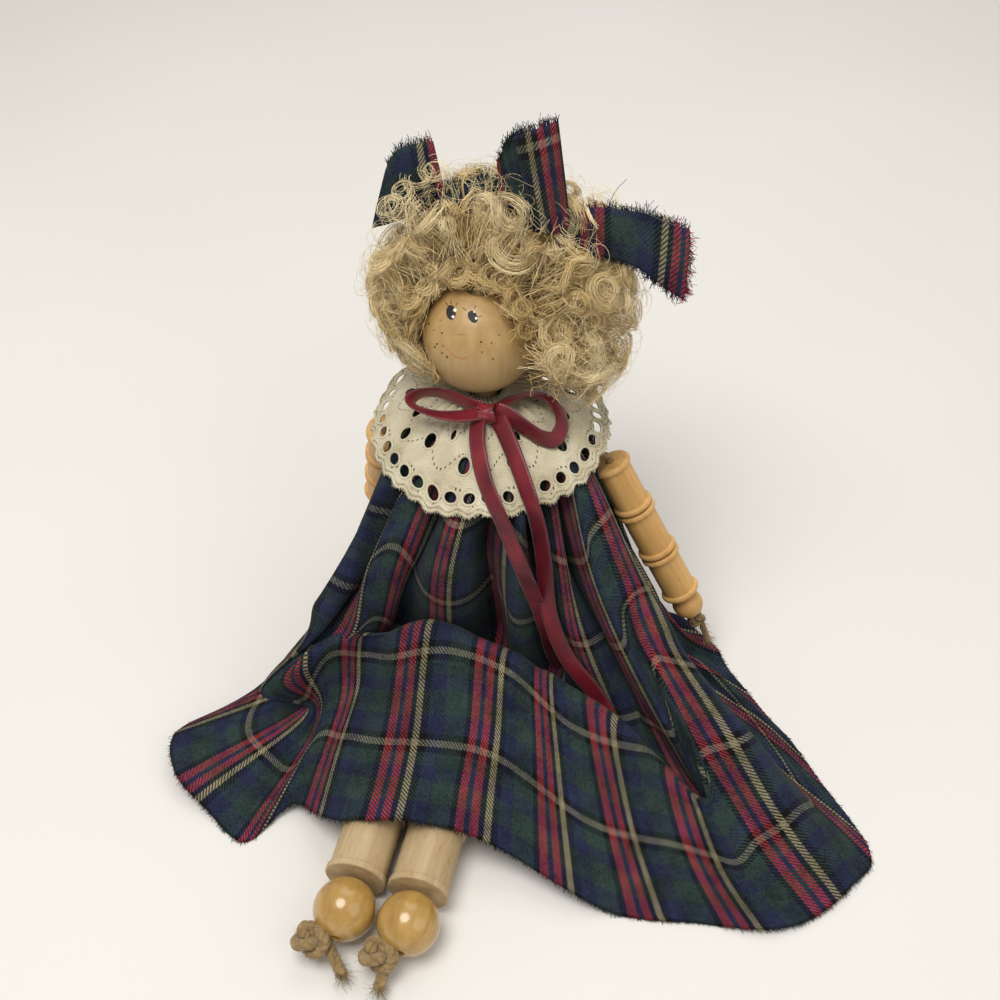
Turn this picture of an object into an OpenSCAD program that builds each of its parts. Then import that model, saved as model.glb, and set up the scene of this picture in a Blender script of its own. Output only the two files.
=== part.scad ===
// Seated spool doll: turned wooden spools and beads strung on jute twine,
// with a gathered plaid dress, a lace collar, a ribbon bow, a curly wig and a plaid hair bow.
// Millimetres, +Z up, the doll faces -Y, its own left side is +X.
// Origin: centre of the seat face under the lower body spool.

/* [Body spools] */
// Height of each of the two body spools
body_spool_h = 47.5; // [44:0.5:52]
// Outer diameter of the body spool flanges
body_spool_d = 38; // [34:0.5:40]
// Diameter of the body spool barrel
body_barrel_d = 30; // [27:0.5:33]
// Thickness of the body spool flanges
body_flange_t = 5; // [3.5:0.5:6.5]
// Bore through the body spools
body_bore_d = 9.2; // [9:0.1:10]

/* [Neck and head] */
// Diameter of the bead that carries the head
neck_bead_d = 9.4; // [9:0.1:11]
// Diameter of the head ball
head_d = 38; // [35:0.5:40]
// Sideways offset of the head from the body axis
head_x = -3; // [-5:0.5:3]
// Backward offset of the head from the body axis
head_y = 6; // [3:0.5:8]
// Diameter of the pocket in the crown that holds the upper knot
crown_pocket_d = 8; // [7:0.5:10]

/* [Arms] */
// Length of each arm spool
arm_spool_l = 20; // [18:0.5:22]
// Outer diameter of the arm spool flanges
arm_spool_d = 14; // [12:0.5:15]
// Diameter of the arm spool barrel
arm_barrel_d = 12; // [10:0.5:12.5]
// Thickness of the rounded arm spool flanges
arm_flange_t = 2.4; // [1.8:0.1:3]
// Diameter of the hand beads
hand_d = 11; // [9:0.5:13]
// Place of the left shoulder bend beside the body, from its middle
left_shoulder_at = [40.5, -9.5];
// Drop of the left shoulder bend below the top of the body
left_shoulder_drop = 9.6; // [8:0.2:11]
// Place of the right shoulder bend beside the body, from its middle
right_shoulder_at = [-36, 3];
// Drop of the right shoulder bend below the top of the body
right_shoulder_drop = 12; // [10:0.5:13]
// Outward swing of the resting left arm in degrees
left_arm_splay = 29; // [24:1:36]
// Outward swing of the resting right arm in degrees
right_arm_splay = 8; // [6:1:16]
// Forward swing of the resting left arm in degrees
left_arm_forward = 12; // [6:1:16]
// Forward swing of the resting right arm in degrees
right_arm_forward = -24; // [-30:1:-24]

/* [Legs] */
// Length of each leg spool
leg_spool_l = 25; // [23:0.5:27]
// Outer diameter of the leg spool flanges
leg_spool_d = 20; // [18:0.5:20]
// Diameter of the leg spool barrel
leg_barrel_d = 18.6; // [16:0.2:19]
// Thickness of the leg spool flanges
leg_flange_t = 2.4; // [1.6:0.2:3]
// Rounding of the leg spool flange edges
leg_edge_r = 0.6; // [0.3:0.1:0.8]
// Diameter of the foot beads
foot_d = 20; // [18:0.5:20]
// Gap between the two legs
leg_gap = 0.8; // [0.6:0.1:2]
// Turn of both legs toward the right in degrees
leg_yaw = 10.5; // [8:0.5:12]
// Sideways place of the bend between body and legs
hip_x = -7; // [-8:0.5:-5]
// Forward place of the bend between body and legs
hip_y = -29.5; // [-32:0.5:-29]

/* [Twine and fits] */
// Diameter of the jute twine
twine_d = 2.6; // [2:0.1:2.8]
// Room around the twine in a drilled hole, per side
twine_room = 0.3; // [0.2:0.05:0.5]
// Gap between neighbouring spools on one string
spool_gap = 0.4; // [0.3:0.05:0.6]
// Free twine between a bend and the first spool
bend_gap = 2.5; // [2.2:0.1:3.5]
// Diameter of the knots at hands
hand_knot_d = 7; // [6:0.5:8]
// Diameter of the knots at the feet
foot_knot_d = 12; // [10:0.5:14]
// Length of the loose twine end after a knot
twine_end_l = 9; // [5:0.5:12]

/* [Dress] */
// Thickness of the formed dress cloth
cloth_t = 1; // [0.8:0.1:1.4]
// Radius of the gathered neck of the dress
dress_neck_r = 7.6; // [7.2:0.1:9]
// Radius of the dress at the top edge of the body
dress_shoulder_r = 25; // [24:0.5:27]
// Number of pleats round the dress
pleats = 20; // [12:1:24]
// Greatest depth of the pleats
pleat_depth = 5; // [1:0.5:7]
// Steepness of the fall from the chest to the lap
dress_fall = 3; // [2.4:0.1:3.4]
// Height of the fold that stands up over the lap
lap_fold_h = 15; // [6:1:20]

/* [Collar] */
// Radius of the gathered inner edge of the collar
collar_neck_r = 8.6; // [8.2:0.1:10]
// Radius of the lace edge
collar_r = 39; // [34:0.5:40]
// Number of ruffles in the lace edge
collar_ruffles = 18; // [12:1:24]
// Height of the ruffles
ruffle_h = 2; // [0.5:0.1:2.6]

/* [Ribbon] */
// Width of the satin ribbon
ribbon_w = 6; // [4:0.5:7]
// Thickness of the ribbon as formed
ribbon_t = 0.8; // [0.6:0.1:1.2]
// Length of the left bow loop
ribbon_loop_l = 22; // [16:1:26]

/* [Hair] */
// Reach of the curls from the centre of the head
hair_r = 37; // [32:1:39]
// Extra reach of the curls over the crown
hair_crown = 11; // [4:1:14]
// Extra reach of the curls beside the left cheek
hair_side = 9; // [0:1:12]
// Depth of the lumps in the mass of curls
hair_lump = 2; // [0:0.2:2.4]
// Width of the torn plaid strip of the hair bow
bow_w = 17; // [12:1:20]
// Thickness of the plaid strip
bow_t = 1.2; // [0.8:0.1:1.6]

/* [Hidden] */
$fn = 64;
tiny = 0.05;
twine_hole_d = twine_d + 2 * twine_room;
body_top = 2 * body_spool_h;
seat_pos = [0, 0, 0];
neck_bead_r = neck_bead_d / 2;
neck_rest = 0.1;
neck_bead_z = body_top + neck_bead_r + neck_rest;
neck_share = 0.5;
neck_pos = [head_x * neck_share, head_y * neck_share, neck_bead_z];
head_r = head_d / 2;
head_rest = 0.2;
head_reach = head_r + neck_bead_r + head_rest;
head_off = norm([head_x, head_y]) * (1 - neck_share);
head_z = neck_bead_z + sqrt(pow(head_reach, 2) - pow(head_off, 2));
head_pos = [head_x, head_y, head_z];
knot_sink = 3.6;
crown_knot_d = crown_pocket_d - 2 * twine_room;
crown_pocket_h = knot_sink + crown_knot_d / 2 + 0.4;
// Shoulder string in front of the spine string
shoulder_string_drop = 7;
shoulder_string_z = body_top - shoulder_string_drop;
left_shoulder = [left_shoulder_at.x, left_shoulder_at.y, body_top - left_shoulder_drop];
right_shoulder = [right_shoulder_at.x, right_shoulder_at.y, body_top - right_shoulder_drop];
shoulder_bend_x = 18;
shoulder_bend_l = [shoulder_bend_x, -4.6, shoulder_string_z];
shoulder_bend_r = [-shoulder_bend_x, -1.8, shoulder_string_z - 0.6];
shoulder_mid = [0, -(twine_d + twine_room), shoulder_string_z];
// Hip string round the back of the spine string
leg_r = leg_spool_d / 2;
leg_z = leg_r;
leg_half = leg_r + leg_gap / 2;
leg_side = [cos(leg_yaw), -sin(leg_yaw), 0];
leg_dir = [-sin(leg_yaw), -cos(leg_yaw), 0];
hip_mid = [hip_x, hip_y, leg_z];
left_hip = hip_mid + leg_half * leg_side;
right_hip = hip_mid - leg_half * leg_side;
hip_loop_r = twine_d + twine_room;
hip_loop_steps = 6;
hip_loop_sweep = 180;
spine_foot_z = leg_z - twine_d / 2 - 3.2;
spine_knot_d = 2 * (hip_loop_r + twine_d / 2) - 0.8;
// Places along the limbs, measured from the bend
arm_pitch = arm_spool_l + spool_gap;
arm_end = bend_gap + 3 * arm_spool_l + 2 * spool_gap;
hand_at = arm_end + hand_d / 2 + spool_gap / 2;
leg_pitch = leg_spool_l + spool_gap;
leg_end = bend_gap + 4 * leg_spool_l + 3 * spool_gap;
foot_at = leg_end + foot_d / 2 + spool_gap / 2;
bend_clear = 0.35;
string_sides = 12;
round_steps = [75, 50, 25];

wood_pale = [0.84, 0.74, 0.58];
wood_honey = [0.80, 0.64, 0.38];
wood_gold = [0.76, 0.58, 0.28];
skin_tan = [0.78, 0.63, 0.40];
jute = [0.59, 0.45, 0.26];
plaid_navy = [0.15, 0.18, 0.30];
lace_cream = [0.90, 0.87, 0.78];
satin_wine = [0.51, 0.10, 0.20];
blond = [0.79, 0.70, 0.50];

// Outline of a turned spool with rounded flange edges, bore removed
module spool_half(l, d, barrel_d, flange_t, edge_r, bore_d) {
  bore_r = bore_d / 2;
  r = d / 2;
  translate([bore_r, 0])
    square([barrel_d / 2 - bore_r, l]);
  for (z = [0, l - flange_t])
    translate([bore_r, z]) {
      square([r - edge_r - bore_r, flange_t]);
      translate([0, edge_r])
        square([r - bore_r, flange_t - 2 * edge_r]);
      for (e = [edge_r, flange_t - edge_r])
        translate([r - edge_r - bore_r, e])
          circle(r = edge_r);
    }
}

module spool(l, d, barrel_d, flange_t, edge_r, bore_d) {
  rotate_extrude()
    spool_half(l, d, barrel_d, flange_t, edge_r, bore_d);
}

module bead(d, bore_d) {
  difference() {
    sphere(d = d);
    cylinder(d = bore_d, h = d + 2, center = true);
  }
}

// Cylinder between two points
module rod(a, b, d) {
  v = b - a;
  len = norm(v);
  translate(a)
    rotate([0, acos(v.z / len), atan2(v.y, v.x)])
      cylinder(d = d, h = len);
}

// String with round bends through a list of points
module string(pts, d) {
  for (i = [0 : len(pts) - 2])
    rod(pts[i], pts[i + 1], d);
  for (i = [1 : len(pts) - 2])
    translate(pts[i])
      sphere(d = d);
}

// Curved string along a list of points with rounded ends, its sideways direction given
module curved_string(pts, d, across) {
  n = len(pts);
  k = string_sides;
  r = d / 2;
  function unit(v) = v / norm(v);
  first = unit(pts[1] - pts[0]);
  last = unit(pts[n - 1] - pts[n - 2]);
  m = len(round_steps);
  spine = concat(
    [for (a = round_steps) [pts[0] - first * r * sin(a), first, r * cos(a)]],
    [for (i = [0 : n - 1]) [pts[i], unit(pts[min(i + 1, n - 1)] - pts[max(i - 1, 0)]), r]],
    [for (i = [1 : m]) [pts[n - 1] + last * r * sin(round_steps[m - i]), last, r * cos(round_steps[m - i])]]
  );
  q = len(spine);
  rings = [for (p = spine, j = [0 : k - 1])
    let (u = unit(across - p[1] * (across * p[1])), v = cross(p[1], u), a = 360 * j / k)
    p[0] + (u * cos(a) + v * sin(a)) * p[2]];
  walls = [for (i = [0 : q - 2], j = [0 : k - 1]) each
    [[i * k + j, i * k + k + j, i * k + (j + 1) % k],
     [i * k + (j + 1) % k, i * k + k + j, i * k + k + (j + 1) % k]]];
  caps = [for (j = [1 : k - 2]) each
    [[0, j, j + 1], [(q - 1) * k, (q - 1) * k + j + 1, (q - 1) * k + j]]];
  polyhedron(points = rings, faces = concat(walls, caps));
}

// Body

shoulder_route = [right_shoulder, shoulder_bend_r, shoulder_mid, shoulder_bend_l, left_shoulder];
hip_route = concat(
  [left_hip],
  [for (i = [0 : hip_loop_steps]) let (a = hip_loop_sweep * i / hip_loop_steps)
    [hip_loop_r * cos(a), hip_loop_r * sin(a), leg_z]],
  [right_hip]
);

module body_spool() {
  spool(body_spool_h, body_spool_d, body_barrel_d, body_flange_t, body_flange_t / 2 - tiny, body_bore_d);
}

module lower_body_spool() {
  color(wood_pale)
    difference() {
      translate(seat_pos)
        body_spool();
      rod(hip_route[1], left_hip, twine_hole_d);
      rod(hip_route[len(hip_route) - 2], right_hip, twine_hole_d);
    }
}

module upper_body_spool() {
  color(wood_pale)
    difference() {
      translate([0, 0, body_spool_h])
        body_spool();
      rod(shoulder_mid, shoulder_bend_l, twine_hole_d);
      rod(shoulder_mid, shoulder_bend_r, twine_hole_d);
    }
}

neck_low = [0, 0, body_top - 0.5];
neck_high = [head_x, head_y, head_z - head_r - 0.6];
neck_dir = (neck_high - neck_low) / norm(neck_high - neck_low);
neck_mid = neck_low + neck_dir * ((neck_bead_z - neck_low.z) / neck_dir.z);

module neck_bead() {
  color(wood_pale)
    difference() {
      translate(neck_mid)
        sphere(d = neck_bead_d);
      rod(neck_low - 4 * neck_dir, neck_high + 4 * neck_dir, twine_hole_d);
    }
}

spine_top = [head_x, head_y, head_z + head_r - knot_sink];

module spine_twine() {
  color(jute) {
    string([[0, 0, spine_foot_z], neck_low, neck_high, spine_top], twine_d);
    translate([0, 0, spine_foot_z])
      sphere(d = spine_knot_d);
    translate(spine_top)
      sphere(d = crown_knot_d);
  }
}

module shoulder_twine() {
  color(jute)
    curved_string(shoulder_route, twine_d, [0, 0, 1]);
}

module hip_twine() {
  color(jute)
    curved_string(hip_route, twine_d, [0, 0, 1]);
}

// Head

module head_ball() {
  color(skin_tan)
    translate(head_pos)
      difference() {
        sphere(d = head_d);
        cylinder(d = twine_hole_d, h = head_d + 2, center = true);
        translate([0, 0, head_r - crown_pocket_h])
          cylinder(d = crown_pocket_d, h = crown_pocket_h + 1);
      }
}

// Arms, built hanging down from the bend and then swung to their resting pose

module arm_place(side) {
  if (side > 0)
    translate(left_shoulder)
      rotate([-left_arm_forward, -left_arm_splay, 0])
        children();
  else
    translate(right_shoulder)
      rotate([-right_arm_forward, right_arm_splay, 0])
        children();
}

module arm_spool(side, i) {
  color(wood_honey)
    arm_place(side)
      translate([0, 0, -(bend_gap + i * arm_pitch + arm_spool_l)])
        spool(arm_spool_l, arm_spool_d, arm_barrel_d, arm_flange_t, arm_flange_t / 2 - tiny, twine_hole_d);
}

module arm_twine(side, i) {
  first = i == 0 ? bend_gap - twine_d / 2 - bend_clear : 0;
  color(jute)
    arm_place(side)
      translate([0, 0, -(bend_gap + i * arm_pitch + arm_spool_l)])
        cylinder(d = twine_d, h = arm_spool_l + first);
}

module hand_bead(side) {
  color(wood_honey)
    arm_place(side)
      translate([0, 0, -hand_at])
        bead(hand_d, twine_hole_d);
}

hand_knot_at = hand_d / 2 + hand_knot_d / 2 - 0.2;

module hand_knot(side) {
  color(jute)
    arm_place(side)
      translate([0, 0, -hand_at]) {
        translate([0, 0, -hand_knot_at - hand_knot_d / 2 - twine_end_l])
          cylinder(d = twine_d, h = hand_knot_at + hand_knot_d / 2 + twine_end_l + hand_d / 2 - 0.4);
        translate([0, 0, -hand_knot_at - 0.3])
          sphere(d = hand_knot_d);
      }
}

// Legs, built along -Y from the bend and then turned to the right

module leg_place(side) {
  translate(side > 0 ? left_hip : right_hip)
    rotate([0, 0, -leg_yaw])
      rotate([90, 0, 0])
        children();
}

module leg_spool(side, i) {
  color(wood_pale)
    leg_place(side)
      translate([0, 0, bend_gap + i * leg_pitch])
        spool(leg_spool_l, leg_spool_d, leg_barrel_d, leg_flange_t, leg_edge_r, twine_hole_d);
}

module leg_twine(side, i) {
  first = i == 0 ? bend_gap - twine_d / 2 - bend_clear : 0;
  color(jute)
    leg_place(side)
      translate([0, 0, bend_gap + i * leg_pitch - first])
        cylinder(d = twine_d, h = leg_spool_l + first);
}

module foot_bead(side) {
  color(wood_gold)
    leg_place(side)
      translate([0, 0, foot_at])
        bead(foot_d, twine_hole_d);
}

foot_knot_at = foot_d / 2 + foot_knot_d / 2 + 0.3;
knot_lean = 25;

module foot_knot(side) {
  color(jute)
    leg_place(side)
      translate([0, 0, foot_at]) {
        translate([0, 0, -foot_d / 2 + 0.4])
          cylinder(d = twine_d, h = foot_knot_at + foot_d / 2);
        translate([0, 0, foot_knot_at])
          sphere(d = foot_knot_d);
        translate([0, 0, foot_knot_at])
          rotate([knot_lean, 0, 0])
            cylinder(d = twine_d, h = foot_knot_d / 2 + twine_end_l);
      }
}

// Soft forms

// Smooth closed curve through a ring of points
function ring_at(p, u) =
  let (n = len(p), k = floor(u), s = u - k,
       a = p[(k + n - 1) % n], b = p[k % n], c = p[(k + 1) % n], d = p[(k + 2) % n])
  0.5 * (2 * b + (c - a) * s + (2 * a - 5 * b + 4 * c - d) * s * s + (3 * b - a - 3 * c + d) * s * s * s);

function bell(x, mid, width) = exp(-pow((x - mid) / width, 2));

function turn_gap(a, b) = abs(((a - b) % 360 + 540) % 360 - 180);

// Closed skin of even thickness over a grid of points that runs round and down
function grid_normal(g, i, j) =
  let (n = len(g[0]), m = len(g),
       du = g[j][(i + 1) % n] - g[j][(i + n - 1) % n],
       dv = g[min(j + 1, m - 1)][i] - g[max(j - 1, 0)][i],
       c = cross(dv, du))
  c / norm(c);

module skin(g, t) {
  n = len(g[0]);
  m = len(g);
  top = [for (j = [0 : m - 1], i = [0 : n - 1]) g[j][i] + grid_normal(g, i, j) * t / 2];
  low = [for (j = [0 : m - 1], i = [0 : n - 1]) g[j][i] - grid_normal(g, i, j) * t / 2];
  s = n * m;
  function at(j, i) = j * n + i % n;
  faces = concat(
    [for (j = [0 : m - 2], i = [0 : n - 1]) each
      [[at(j, i), at(j, i + 1), at(j + 1, i)], [at(j, i + 1), at(j + 1, i + 1), at(j + 1, i)]]],
    [for (j = [0 : m - 2], i = [0 : n - 1]) each
      [[s + at(j, i), s + at(j + 1, i), s + at(j, i + 1)],
       [s + at(j, i + 1), s + at(j + 1, i), s + at(j + 1, i + 1)]]],
    [for (i = [0 : n - 1]) each
      [[at(0, i), s + at(0, i), at(0, i + 1)], [at(0, i + 1), s + at(0, i), s + at(0, i + 1)]]],
    [for (i = [0 : n - 1]) each
      [[at(m - 1, i), at(m - 1, i + 1), s + at(m - 1, i)],
       [at(m - 1, i + 1), s + at(m - 1, i + 1), s + at(m - 1, i)]]]
  );
  polyhedron(points = concat(top, low), faces = faces);
}

// The dress as guide columns that run from the neck to the hem, in order round from +X.
// Columns that fall straight to the table: angle and hem
hem_floor = 1;
plain_columns = [
  [0, [84, -24]], [18, [62, 0]], [36, [46, 14]], [54, [32, 23]], [72, [16, 28]], [90, [0, 29]],
  [108, [-14, 27]], [126, [-24, 20]], [144, [-30, 9]], [162, [-34, -9]], [180, [-64, -38]]
];
plain_steps = [0.14, 0.3, 0.44, 0.72, 1];
// Columns over the lap: angle, a point below the shoulder with its drop from the top of the body, the valley
// behind the lap, the ridge of the lap with its share of lap_fold_h above the valley, the slope and the hem
lap_columns = [
  [189, [-36, -12, 37], [-43, -23, 37], [-57, -38, -0.7], [-62, -45, 24], [-92, -60, 6]],
  [198, [-42, -19, 38], [-49, -34, 39], [-65, -54, -0.7], [-54, -55, 20], [-106, -76, 7]],
  [216, [-38, -33, 33], [-55, -54, 41], [-75, -72, -0.9], [-58, -69, 20], [-94, -100, 2]],
  [234, [-31, -42, 32], [-43, -51, 36], [-53, -62, 0], [-48, -82, 20], [-66, -109, 4]],
  [252, [-20, -45, 30], [-25, -47, 27], [-29, -55, 0.8], [-37, -86, 27], [-44, -114, 20]],
  [270, [-7, -46, 28], [-6, -46, 26], [-7, -53, 0.9], [-12, -85, 30], [-18, -116, 24]],
  [288, [8, -46, 28], [12, -49, 25], [10, -57, 0.9], [8, -87, 27], [6, -117, 14]],
  [306, [24, -46, 32], [38, -64, 21], [32, -72, 1.1], [38, -103, 20], [46, -133, 2]],
  [315, [32, -46, 34], [59, -84, 17], [52, -91, 1], [62, -114, 15], [74, -135, hem_floor]],
  [324, [39, -45, 34], [79, -97, 13], [74, -105, 0.7], [86, -121, 10], [99, -135, hem_floor]],
  [331, [45, -44, 33], [58, -64, 46], [73, -83, -1.1], [92, -107, 12], [112, -130, hem_floor]],
  [338, [49, -40, 37], [68, -58, 44], [87, -78, -0.9], [103, -97, 17], [124, -119, hem_floor]],
  [345, [47, -26, 47], [66, -42, 20], [90, -64, -1], [112, -86, 3], [132, -106, hem_floor]],
  [352, [46, -14, 47], [60, -22, 12], [76, -36, -0.75], [94, -50, 1.5], [112, -69, hem_floor]]
];
// Rows of the cloth, as places among the seven points of a column
dress_rows = [0, 1, 1.5, 2, 2.5, 3, 4, 4.5, 5, 6];
dress_cols = 60;
lap_cols = 3;
dress_neck_z = body_top + 7.4;
dress_shoulder_z = body_top + 1.4;
dress_edge_z = body_top - 1.5;
cloth_room = 1.2;
// The collar over it, higher over the shoulders and drooping in front
collar_neck_z = dress_neck_z + 0.9;
collar_side_z = body_top - 2;
collar_front_drop = 7;
collar_mid = [1, -3];
lace_t = 0.8;

function shoulder_points(a) = [
  [neck_mid.x + dress_neck_r * cos(a), neck_mid.y + dress_neck_r * sin(a), dress_neck_z],
  [dress_shoulder_r * cos(a), dress_shoulder_r * sin(a), dress_shoulder_z]];

function plain_column(c) =
  let (s = dress_shoulder_r * [cos(c[0]), sin(c[0])], d = c[1] - s)
  concat(shoulder_points(c[0]),
    [for (t = plain_steps) [s.x + d.x * t, s.y + d.y * t,
      hem_floor + (dress_edge_z - hem_floor) * pow(1 - t, dress_fall)]]);

function lap_column(c) =
  concat(shoulder_points(c[0]),
    [[c[1].x, c[1].y, body_top - c[1].z], c[2], [c[3].x, c[3].y, c[2].z + c[3].z * lap_fold_h], c[4], c[5]]);

guides = concat([for (c = plain_columns) plain_column(c)], [for (c = lap_columns) lap_column(c)]);
guide_angles = concat([for (c = plain_columns) c[0]], [for (c = lap_columns) c[0]], [360]);

// Width of cloth between one guide column and the next, at least the gathered back's share of the turn
back_cloth = 1.45;
guide_gaps = [for (k = [0 : len(guides) - 1])
  max(norm(guides[(k + 1) % len(guides)][6] - guides[k][6]), back_cloth * (guide_angles[k + 1] - guide_angles[k]))];
function sum_to(v, k) = k > 0 ? v[k - 1] + sum_to(v, k - 1) : 0;
cloth_to = [for (k = [0 : len(guides)]) [k, sum_to(guide_gaps, k)]];
cloth_l = cloth_to[len(guides)][1];

back_gaps = len(plain_columns) - 1;
back_cols = dress_cols - lap_cols * (len(lap_columns) + 1);
function guide_no(i) = i < back_cols ? i * back_gaps / back_cols : back_gaps + (i - back_cols) / lap_cols;

dress_mean = [for (t = dress_rows)
  [for (i = [0 : dress_cols - 1]) curve_at([for (k = [0 : 6]) ring_at([for (g = guides) g[k]], guide_no(i))], t)]];

// Pleats take up the spare width of the cloth, with round outsides and sharp valleys, and end before the lap.
// They wander a little: waves round the dress, size in pleats and start angle
pleat_wander = [[3, 0.11, 70], [5, 0.08, 200], [8, 0.1, 310], [11, 0.07, 140]];
pleat_inward = 0.8;
calm_from = 2.3;
calm_to = 3.4;
function cloth_at(i) = lookup(guide_no(i), cloth_to);
function pleat_out(j, i) =
  let (n = dress_cols, next = (i + 1) % n, last = (i + n - 1) % n,
       wide = norm(dress_mean[j][next] - dress_mean[j][last]),
       cloth = ((cloth_at(next) - cloth_at(last)) + cloth_l) % cloth_l,
       slack = sqrt(1 - pow(min(1, wide / cloth), 2)),
       around = cloth_at(i) / cloth_l,
       wander = [for (w = pleat_wander) w[1] * sin(360 * w[0] * around + w[2])] * [1, 1, 1, 1],
       over_lap = max(0, min(1, guide_no(i) - back_gaps, len(guides) - guide_no(i))),
       calm = 1 - over_lap * max(0, min(1, (dress_rows[j] - calm_from) / (calm_to - calm_from))),
       round = abs(cos(180 * (pleats * around + wander))) * (1 + pleat_inward * over_lap) - pleat_inward * over_lap)
  min(pleat_depth, cloth_l / pleats / 4 * slack) * round * calm;

// Moves a point out of the room that a rod needs
function clear_of(p, a, b, r) =
  let (d = b - a, t = max(0, min(1, (p - a) * d / (d * d))), f = a + t * d, off = norm(p - f))
  off < r ? f + (p - f) * r / off : p;

function arm_way(side) =
  let (splay = side > 0 ? left_arm_splay : right_arm_splay, swing = side > 0 ? left_arm_forward : right_arm_forward)
  [side * cos(swing) * sin(splay), -sin(swing), -cos(swing) * cos(splay)];
arm_reach = bend_gap + 3 * arm_pitch + hand_d;
leg_reach = bend_gap + 4 * leg_pitch;
cloth_stand = cloth_t / 2 + cloth_room;

function clear_of_limbs(p) =
  let (a = clear_of(p, left_hip, left_hip + leg_dir * leg_reach, leg_r + cloth_stand),
       b = clear_of(a, right_hip, right_hip + leg_dir * leg_reach, leg_r + cloth_stand),
       c = clear_of(b, left_shoulder, left_shoulder + arm_way(1) * arm_reach, arm_spool_d / 2 + cloth_stand),
       d = clear_of(c, right_shoulder, right_shoulder + arm_way(-1) * arm_reach, arm_spool_d / 2 + cloth_stand))
  clear_of(d, [0, 0, 0], [0, 0, body_top - 2], body_spool_d / 2 + cloth_stand);

// Keeps the cloth below the ruffles of the collar
function under_collar(p) =
  let (off = [p.x, p.y] - collar_mid, far = norm(off),
       s = (far - collar_neck_r) / (collar_r - collar_neck_r),
       edge_z = collar_side_z - collar_front_drop * max(0, -off.y / far),
       top = collar_neck_z + (edge_z - collar_neck_z) * pow(min(s, 1), 2) - ruffle_h - (lace_t + cloth_t) / 2 - cloth_room)
  s < 1.2 && p.z > dress_edge_z - 20 ? [p.x, p.y, min(p.z, top)] : p;

dress_grid = [for (j = [0 : len(dress_rows) - 1])
  [for (i = [0 : dress_cols - 1])
    let (p = dress_mean[j][i])
    j < 1 ? p : j < 2 ? under_collar(p) :
      let (q = under_collar(clear_of_limbs(p + grid_normal(dress_mean, i, j) * pleat_out(j, i))))
      [q.x, q.y, max(q.z, hem_floor)]]];

armhole_d = twine_d + 2;

module dress() {
  color(plaid_navy)
    difference() {
      skin(dress_grid, cloth_t);
      rod(shoulder_bend_l, left_shoulder, armhole_d);
      rod(shoulder_bend_r, right_shoulder, armhole_d);
    }
}

// Lace collar
collar_cols = 72;
collar_rows = 5;

function collar_point(i, s) =
  let (a = 360 * i / collar_cols,
       front = max(0, -sin(a)),
       mid = [neck_mid.x, neck_mid.y] * (1 - s) + collar_mid * s,
       r = collar_neck_r + (collar_r - collar_neck_r) * s,
       edge_z = collar_side_z - collar_front_drop * front,
       ruffle = ruffle_h * s * s * cos(collar_ruffles * a))
  [mid.x + r * cos(a), mid.y + r * sin(a), collar_neck_z + (edge_z - collar_neck_z) * s * s + ruffle];

collar_grid = [for (j = [0 : collar_rows])
  [for (i = [0 : collar_cols - 1]) collar_point(i, j / collar_rows)]];

module lace_collar() {
  color(lace_cream)
    skin(collar_grid, lace_t);
}

// Strip of even thickness along a list of points, its width along one direction
module strip(pts, across, w, t) {
  n = len(pts);
  function way(i) = pts[min(i + 1, n - 1)] - pts[max(i - 1, 0)];
  function face(i) = let (c = cross(way(i), across)) c / norm(c);
  corners = [for (i = [0 : n - 1]) each
    [pts[i] - across * w / 2 - face(i) * t / 2, pts[i] + across * w / 2 - face(i) * t / 2,
     pts[i] + across * w / 2 + face(i) * t / 2, pts[i] - across * w / 2 + face(i) * t / 2]];
  last = 4 * (n - 1);
  sides = [for (i = [0 : n - 2], k = [0 : 3]) each
    [[4 * i + k, 4 * i + 4 + k, 4 * i + (k + 1) % 4],
     [4 * i + (k + 1) % 4, 4 * i + 4 + k, 4 * i + 4 + (k + 1) % 4]]];
  ends = [[0, 1, 2], [0, 2, 3], [last, last + 2, last + 1], [last, last + 3, last + 2]];
  polyhedron(points = corners, faces = concat(sides, ends));
}

// Points along a smooth open curve
function curve_at(p, u) =
  let (n = len(p), k = min(floor(u), n - 2), s = u - k,
       b = p[k], c = p[k + 1], a = k > 0 ? p[k - 1] : 2 * b - c, d = k < n - 2 ? p[k + 2] : 2 * c - b)
  0.5 * (2 * b + (c - a) * s + (2 * a - 5 * b + 4 * c - d) * s * s + (3 * b - a - 3 * c + d) * s * s * s);

function curve(p, steps) = [for (i = [0 : steps]) curve_at(p, i * (len(p) - 1) / steps)];

// Ribbon: bow knot in front of the neck, two loops and two tails over the collar and down the lap
ribbon_knot = [0, -12, collar_neck_z + 3.6];
ribbon_knot_d = 6;
loop_steps = 18;
tail_steps = 14;

function ribbon_loop(side, l) =
  curve([ribbon_knot + [side * 3.4, -0.6, 0],
         ribbon_knot + [side * l * 0.55, -4.6, -0.8],
         ribbon_knot + [side * l, -2.4, -2.6],
         ribbon_knot + [side * l * 0.98, 1.6, -2.4],
         ribbon_knot + [side * l * 0.5, 2.2, -0.4],
         ribbon_knot + [side * 3.6, 1.4, 0.2]], loop_steps);

tail_a = [ribbon_knot + [-1.4, -3.2, -0.6], [-2.6, -27, body_top + 7], [-1.6, -43, body_top - 3],
          [1, -49, body_top - 17], [9, -56, 60], [17, -65, 46], [22, -75, 40]];
tail_b = [ribbon_knot + [3, -3.2, -0.6], [7, -28, body_top + 7], [11, -43, body_top - 3],
          [15, -49, body_top - 17], [20, -56, 60], [25, -65, 46], [32, -77, 38]];

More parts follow.
